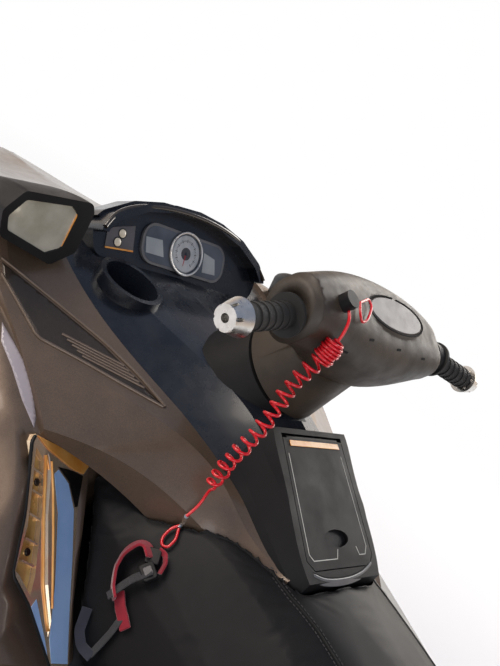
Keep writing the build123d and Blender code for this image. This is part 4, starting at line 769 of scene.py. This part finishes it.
def upholstered(node, name):
    """The CAD's seat block as a swollen vinyl cover."""
    mesh = nodes[node].data.copy()
    mesh.name = name
    obj = bpy.data.objects.new(name, mesh)
    bpy.context.scene.collection.objects.link(obj)
    remesh = obj.modifiers.new("remesh", "REMESH")
    remesh.mode = "VOXEL"
    remesh.voxel_size = VOXEL
    smooth = obj.modifiers.new("smooth", "SMOOTH")
    smooth.factor = 0.5
    smooth.iterations = 3
    graph = bpy.context.evaluated_depsgraph_get()
    shaped = bpy.data.meshes.new_from_object(obj.evaluated_get(graph))
    obj.modifiers.clear()
    obj.data = shaped
    start = [vert.co - vert.normal * SHRINK for vert in shaped.vertices]
    for vert, co in zip(shaped.vertices, start):
        vert.co = co
    cloth = obj.modifiers.new("cloth", "CLOTH")
    cloth.settings.quality = 4
    cloth.settings.use_pressure = True
    cloth.settings.uniform_pressure_force = PRESSURE
    cloth.settings.tension_stiffness = STIFFNESS
    cloth.settings.compression_stiffness = STIFFNESS
    cloth.settings.effector_weights.gravity = 0
    scene = bpy.context.scene
    for number in range(1, CLOTH_FRAMES + 1):
        scene.frame_set(number)
    graph = bpy.context.evaluated_depsgraph_get()
    swollen = [vert.co.copy() for vert in obj.evaluated_get(graph).data.vertices]
    obj.modifiers.clear()
    scene.frame_set(1)
    for vert, before, after in zip(shaped.vertices, start, swollen):
        move = after - before
        if move.length > SWELL_CAP:
            move = move.normalized() * SWELL_CAP
        vert.co = before + move
    shaped.materials.clear()
    shaped.materials.append(finishes["vinyl"])
    for polygon in shaped.polygons:
        polygon.use_smooth = True
    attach(obj, "hull")
    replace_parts(obj, node)
    return obj


def onto(tree_name, x, y, top=1.2):
    """Point and normal of a surface straight below (x, y)."""
    point, normal, _, _ = surface_of(tree_name).ray_cast(Vector((x, y, top)), Vector((0, 0, -1)))
    return point, normal


STITCH_PITCH = 6 * MM
STITCH_ASIDE = 4.5


def stitched_seam(name, cover, line, mirrored=True):
    """A seam drawn as a dark line on a cover, with a row of stitches on each side of it. line is (x, y)."""
    path = []
    for (x0, y0), (x1, y1) in zip(line, line[1:]):
        count = max(2, int(math.dist((x0, y0), (x1, y1)) / STITCH_PITCH))
        path += [(x0 + (x1 - x0) * i / count, y0 + (y1 - y0) * i / count) for i in range(count)]
    hits = [onto(cover, x, y) for x, y in path]
    hits = [(p, n) for p, n in hits if p is not None]
    curve_piece(name, [[p + n * 0.2 * MM for p, n in hits[::2]]], 0.0016, gap_black, "hull",
                mirrored, deep=2)
    bm = bmesh.new()
    for (p, n), (q, _) in zip(hits, hits[1:]):
        ahead = (q - p).normalized()
        across = ahead.cross(n).normalized()
        for offset in (-STITCH_ASIDE, STITCH_ASIDE):
            plane = plane_at(p + across * offset * MM, ahead, n)
            prism(bm, plane, rounded(4.2, 1.1, 0.5, count=3), -0.3, 0.7)
    piece(name + "_stitches", mesh_from(bm, name + "_stitches", mirrored), thread, "hull", 40)


upholstered("seat_front", "seat_cover_front")
upholstered("seat_rear", "seat_cover_rear")
stitched_seam("seam_front", "seat_cover_front",
              ((0.235, 0.121), (0.147, 0.110), (0.083, 0.104), (-0.1, 0.104), (-0.41, 0.112)))
stitched_seam("seam_rear", "seat_cover_rear",
              ((-0.435, 0.116), (-0.62, 0.12), (-0.85, 0.117), (-1.01, 0.107)))

# Side cowls: ribbed recess darkened with painted shade, its bevel lines brightened with painted highlight,
# and the pale band below it
RECESS_PX = ((2, 262), (50, 301), (102, 344), (138, 380), (161, 404), (120, 383), (82, 361),
             (38, 337), (19, 305), (3, 277))
UPPER_LINE_PX = ((2, 258), (50, 297), (102, 340), (140, 377), (165, 407))
LOWER_LINE_PX = ((2, 274), (19, 304), (37, 337), (82, 361), (120, 383), (163, 407))
BAND_OUTLINE_PX = ((2, 322), (14, 343), (24, 362), (33, 392), (36, 418), (34, 428), (22, 400),
                   (12, 368), (1, 341))
RIB_COUNT = 5
RIB_START_PX, RIB_END_PX = (62, 334), (124, 366)
RIB_STEP_PX = (5, 5.5)
traced_patch("cowl_recess", RECESS_PX, "side_cowls", 0.5, 0.8, cowl_painted_shade, "hull",
             mirrored=True)
curve_piece("cowl_bevels", [traced(UPPER_LINE_PX, "side_cowls", 0.6, 16),
                            traced(LOWER_LINE_PX, "side_cowls", 0.6, 16)],
            0.0024, cowl_painted_highlight, "hull", True)
ribs = []
for index in range(RIB_COUNT):
    shift = (index * RIB_STEP_PX[0], index * RIB_STEP_PX[1])
    ends = [(p[0] + shift[0], p[1] + shift[1]) for p in (RIB_START_PX, RIB_END_PX)]
    ribs.append(traced(ends, "side_cowls", 0.7, 8))
curve_piece("cowl_ribs", ribs, 0.0021, finishes["bronze"], "hull", True)
traced_patch("fender_band", BAND_OUTLINE_PX, "front_body", 0.5, 0.8, pale_band_colour, "hull",
             mirrored=True)

# Accents, in mm on their plane; the colours of their sky patch, rim, facet, gill and ridges are painted
# reflections
SKY = ((20, -84), (11, -90), (-12, -72), (-26, -36), (-25, 32), (-21, 97), (-19, 165), (16, 158),
       (21, 128), (12, 60), (10, -30))
SKY_FOOT = ((60, 84), (50, 76), (30, 128), (22, 156))
RIM = ((60, -133), (-66, -105), (-46, -86), (-20, -92), (36, -116))
FACET = ((-46, -84), (-20, -90), (14, -94), (-12, -74), (-27, -40), (-34, -40))
GILL_FLOOR = ((59, -116), (44, -100), (44, -36), (49, 3), (55, 47), (62, 68), (83, 43), (90, 37),
              (71, -15), (65, -57))
RIDGE_LINE = ((40, -108), (14, -34), (16, 60), (24, 122), (38, 60), (41, -30))
SPINE = ((33, -100), (28, -60), (25, 0), (23, 90))
EDGE_LINE = ((62, -132), (68, -124), (77, -31), (97, 42), (64, 82), (19, 162))
plates("accent_sky_reflection", ACCENT, [SKY, SKY_FOOT], 0.1, 0.6, painted_sky_reflection, "hull", 0.2, True)
plates("accent_rim", ACCENT, [RIM], 0.1, 2.2, painted_warm_reflection, "hull", 0.9, True)
plates("accent_facet", ACCENT, [FACET], 0.1, 1.2, dark_metal_and_painted_reflection, "hull", 0.5, True)
plates("accent_gill", ACCENT, [GILL_FLOOR], -7.9, -7.4, painted_gold_reflection, "hull", 0.2, True)
curve_piece("accent_ridge",
            [[ACCENT @ Vector((x * MM, y * MM, 0.001)) for x, y in RIDGE_LINE + RIDGE_LINE[:1]],
             [ACCENT @ Vector((x * MM, y * MM, 0.005)) for x, y in SPINE]],
            0.0018, painted_warm_reflection, "hull", True, order=2)
curve_piece("accent_edge", [[ACCENT @ Vector((x * MM, y * MM, -0.001)) for x, y in EDGE_LINE]],
            0.0026, finishes["matte_black"], "hull", True, order=2)
for index, centre in enumerate(((50, -72), (64, 17))):
    turned(f"accent_screw_{index}", ACCENT, centre,
           ((0, -2.6), (2, -2.6), (2.1, -3.6), (4.4, -3.6), (5.2, -4.6), (5.2, -6)),
           dark_metal_and_painted_reflection, "hull", 24)

# Instrument pod, in mm on its plane
GAUGE_TOP = 5
DIAL_R = 36
TICKS = 40
LEFT_PANEL = ((-184, 2), (-126, 20), (-121, -24), (-182, -31))
LEFT_DISPLAY = ((-101, 8), (-62, 11), (-52, -19), (-95, -20))
RIGHT_DISPLAY = ((47, 14), (78, 8), (86, -22), (50, -24))
plates("gauge_screen", POD, [rounded(204, 66, 25)], GAUGE_TOP, GAUGE_TOP + 0.5, display_blue, "hull",
       0.2)
plates("gauge_displays", POD, [LEFT_DISPLAY, RIGHT_DISPLAY], GAUGE_TOP + 0.5, GAUGE_TOP + 0.9,
       display_pale, "hull", 0.2)
turned("dial_face", POD, (0, 0),
       ((0, 5.7), (DIAL_R - 6, 5.7), (DIAL_R - 4.5, 6.6), (DIAL_R - 3, 6.6), (DIAL_R - 1, 5.4)),
       dial_silver, "hull")
tick_bm = bmesh.new()
for index in range(TICKS):
    angle = math.radians(-50 + 280 * index / (TICKS - 1))
    major = index % 4 == 0
    plane = POD @ Matrix.Rotation(angle, 4, "Z") @ Matrix.Translation((0.0245, 0, 0.00585))
    prism(tick_bm, plane, rounded(5.5 if major else 3, 1.5 if major else 0.8, 0.3, count=2), -0.2, 0.1)
piece("dial_ticks", mesh_from(tick_bm, "dial_ticks"), dial_ink, "hull")
plates("dial_centre", POD, [circle((0, 0), 12)], 5.75, 5.95, panel_grey, "hull", 0.05)
plates("dial_needle", POD, [((-1.6, 2), (1.6, 2), (-2.5, -24), (-3.4, -24))], 6.1, 6.5, needle_red,
       "hull", 0.1)
turned("dial_hub", POD, (0, 0), ((0, 7.0), (2.6, 6.9), (3.6, 6.2), (3.6, 5.9)), dial_ink, "hull",
       24)
turned("gauge_ring", POD, (0, 0), ((38.1, 5.2), (38.3, 9.2), (39.6, 9.9), (41.4, 9.6), (42.2, 8.6)),
       finishes["machined"], "hull")
plates("pod_left_panel", POD, [LEFT_PANEL], 0, 2.2, panel_grey, "hull", 0.8)
plates("pod_line", POD, [((-182, -31), (-121, -24), (-121, -27), (-181, -34))], 0.3, 2.6, amber,
       "hull", 0.4)
for index, centre in enumerate(((-151, -1), (-158, -18))):
    turned(f"indicator_{index}", POD, centre, ((0, 4.3), (5, 4.0), (7.2, 3.0), (7.6, 2.0)),
           indicator_pale, "hull", 32)
    turned(f"indicator_ring_{index}", POD, centre, ((7.6, 2.0), (7.9, 3.2), (9, 3.0), (9.2, 2.0)),
           finishes["matte_black"], "hull", 32)

# Rim along the brow of the pod, in mm, port half
BROW = ((776, 208, 908), (797, 190, 925), (811, 162, 938), (816, 130, 951), (819, 82, 962),
        (821, 27, 967))
brow_half = [Vector(p) * MM for p in BROW]
brow_line = brow_half + [Vector((p.x, -p.y, p.z)) for p in reversed(brow_half)]
brow_gloss = surface("brow_gloss", (0.02, 0.014, 0.008), (0.04, 0.027, 0.014), (0.1, 0.2), mottle=20,
                     coat=(1.0, 0.03))
curve_piece("brow_rim", [brow_line], 0.0045, brow_gloss, "hull")

# Mirrors: amber strip beside the glass
plates("mirror_marker", MIRROR, [((50, 34), (54, 30), (50, -20), (46, -24))], -2.6, -1.2, amber, "hull",
       0.4, True)

# Handlebar: slots in the cover, inlay of the pad, bolt of the starboard bracket
SLOT_PX = ((345, 352), (372, 340), (399, 350), (423, 359))
slot_bm = bmesh.new()
for pixel in SLOT_PX:
    point, normal = seen_at(pixel, "handlebar_cover")
    prism(slot_bm, plane_at(point, STEER.to_3x3() @ Vector((0.1, -1, 0)), normal),
          rounded(13, 4, 1.8, count=4), -0.4, 0.25)
piece("cover_slots", mesh_from(slot_bm, "cover_slots"), gap_black, "handlebar")
PAD_AT = (14, -25)
plates("pad_inlay", STEER, [circle(PAD_AT, 27, 56, 2.7)], 198.6, 200.2, panel_grey, "handlebar",
       0.8)
curve_piece("pad_edge",
            [[STEER @ Vector((x * MM, y * MM, 0.1992)) for x, y in circle(PAD_AT, 30, 41, 2.65)]],
            0.0012, gap_black, "handlebar", order=3)
BOLT_AT = (-14, -192, 158)
bolt_plane = STEER @ Matrix.Translation(Vector(BOLT_AT) * MM) @ Matrix.Rotation(math.radians(-90), 4, "Y")
turned("bracket_bolt", bolt_plane, (0, 0), ((0, 17), (3.4, 17), (3.6, 18.6), (6.2, 18.6), (7, 17), (7, 11)),
       finishes["machined"], "handlebar", 6)

# Console: border lines of the two bare labels, front strip, and the rounded lip behind the lid
LABEL_LINES = (((160, 70), (14, 76), (5, 68), (5, 10), (18, 4)),
               ((20, -46), (8, -50), (8, -66), (20, -74), (160, -66)))
line_bm = bmesh.new()
for line in LABEL_LINES:
    for a, b in zip(line, line[1:]):
        along_line = Vector((b[0] - a[0], b[1] - a[1])).normalized() * 0.55
        aside = Vector((-along_line.y, along_line.x))
        start, end = Vector(a) - along_line, Vector(b) + along_line
        prism(line_bm, LID, [tuple(start + aside), tuple(end + aside), tuple(end - aside),
                             tuple(start - aside)], 0, 0.25)
piece("lid_lines", mesh_from(line_bm, "lid_lines"), line_white, "glovebox_lid")
plates("lid_strip", LID, [((172, 62), (181, 62), (181, -64), (172, -66))], 0.05, 1.2, amber,
       "glovebox_lid", 0.4)
LIP_STEPS = 30
LIP = ((-15, 77), (-22, 62), (-26, 38), (-27, 8), (-25, -25), (-18, -58), (-8, -78))
lip_points = [LID @ (Vector((x, y, -3)) * MM) for x, y in LIP]
lip_line, _ = smooth_line(lip_points, LIP_STEPS)
ribbon("console_lip", lip_line, [LID.to_3x3() @ Vector((-0.5, 0, 1))] * LIP_STEPS, 11, 5, lip_grey, "hull")
curve_piece("console_lip_gap", [[p + (LID.to_3x3() @ Vector((6, 0, 1.5))) * MM for p in lip_line[::3]]],
            0.0018, gap_black, "hull")

# Stage

floor_mesh = bpy.data.meshes.new("floor")
FLOOR_REACH = 40
floor_mesh.from_pydata([(-FLOOR_REACH, -FLOOR_REACH, 0), (FLOOR_REACH, -FLOOR_REACH, 0),
                        (FLOOR_REACH, FLOOR_REACH, 0), (-FLOOR_REACH, FLOOR_REACH, 0)],
                       [], [(0, 1, 2, 3)])
floor_mesh.transform(Matrix.Translation((0, 0, cad_box[0].z - 0.001)))
floor = bpy.data.objects.new("floor", floor_mesh)
bpy.context.scene.collection.objects.link(floor)
floor_material, tree, shader = new_material("floor")
shader.inputs["Base Color"].default_value = (0.86, 0.86, 0.87, 1)
shader.inputs["Roughness"].default_value = 0.9
shader.inputs["Specular IOR Level"].default_value = 0.1
glow = tree.nodes.new("ShaderNodeEmission")
glow.inputs["Color"].default_value = (1, 1, 1, 1)
reach = tree.nodes.new("ShaderNodeVectorMath")
reach.operation = "LENGTH"
tree.links.new(object_coords(tree), reach.inputs[0])
far = spread(tree, reach.outputs["Value"], 0, 1, 2.0, 3.6)
blend = tree.nodes.new("ShaderNodeMixShader")
tree.links.new(far, blend.inputs["Fac"])
tree.links.new(shader.outputs[0], blend.inputs[1])
tree.links.new(glow.outputs[0], blend.inputs[2])
tree.links.new(blend.outputs[0], tree.nodes["Material Output"].inputs["Surface"])
floor.data.materials.append(floor_material)

world = bpy.data.worlds.new("world")
bpy.context.scene.world = world
world.use_nodes = True
tree = world.node_tree
background = tree.nodes["Background"]
background.inputs["Strength"].default_value = 0.5
sky_at = tree.nodes.new("ShaderNodeTexCoord")
sky_parts = tree.nodes.new("ShaderNodeSeparateXYZ")
tree.links.new(sky_at.outputs["Generated"], sky_parts.inputs[0])
horizon = spread(tree, maths(tree, "ABSOLUTE", sky_parts.outputs["Z"]), 1, 0, 0.0, 0.55)
tree.links.new(mixed(tree, horizon, (0.42, 0.5, 0.68), (1.6, 1.25, 0.95)), background.inputs["Color"])
seen = tree.nodes.new("ShaderNodeBackground")
seen.inputs["Color"].default_value = (1, 1, 1, 1)
seen.inputs["Strength"].default_value = 1.0
path = tree.nodes.new("ShaderNodeLightPath")
blend = tree.nodes.new("ShaderNodeMixShader")
tree.links.new(path.outputs["Is Camera Ray"], blend.inputs["Fac"])
tree.links.new(background.outputs[0], blend.inputs[1])
tree.links.new(seen.outputs[0], blend.inputs[2])
tree.links.new(blend.outputs[0], tree.nodes["World Output"].inputs["Surface"])


def lamp(name, place, aim, size, power, colour=(1, 1, 1)):
    data = bpy.data.lights.new(name, "AREA")
    data.shape = "RECTANGLE"
    data.size, data.size_y = size
    data.energy = power
    data.color = colour
    made = bpy.data.objects.new(name, data)
    bpy.context.scene.collection.objects.link(made)
    made.location = place
    made.rotation_mode = "QUATERNION"
    made.rotation_quaternion = (Vector(aim) - Vector(place)).to_track_quat("-Z", "Y")
    return made


lamp("key", (3.5, 3.2, 4.5), (0.2, 0, 0.7), (3.5, 3.5), 260, (1, 0.9, 0.78))
lamp("fill", (-4.5, 3.0, 3.2), (0, 0, 0.6), (4, 4), 110, (0.92, 0.95, 1))
lamp("back", (1.5, -4.5, 3.0), (0, 0, 0.6), (4, 3), 170, (1, 0.95, 0.88))
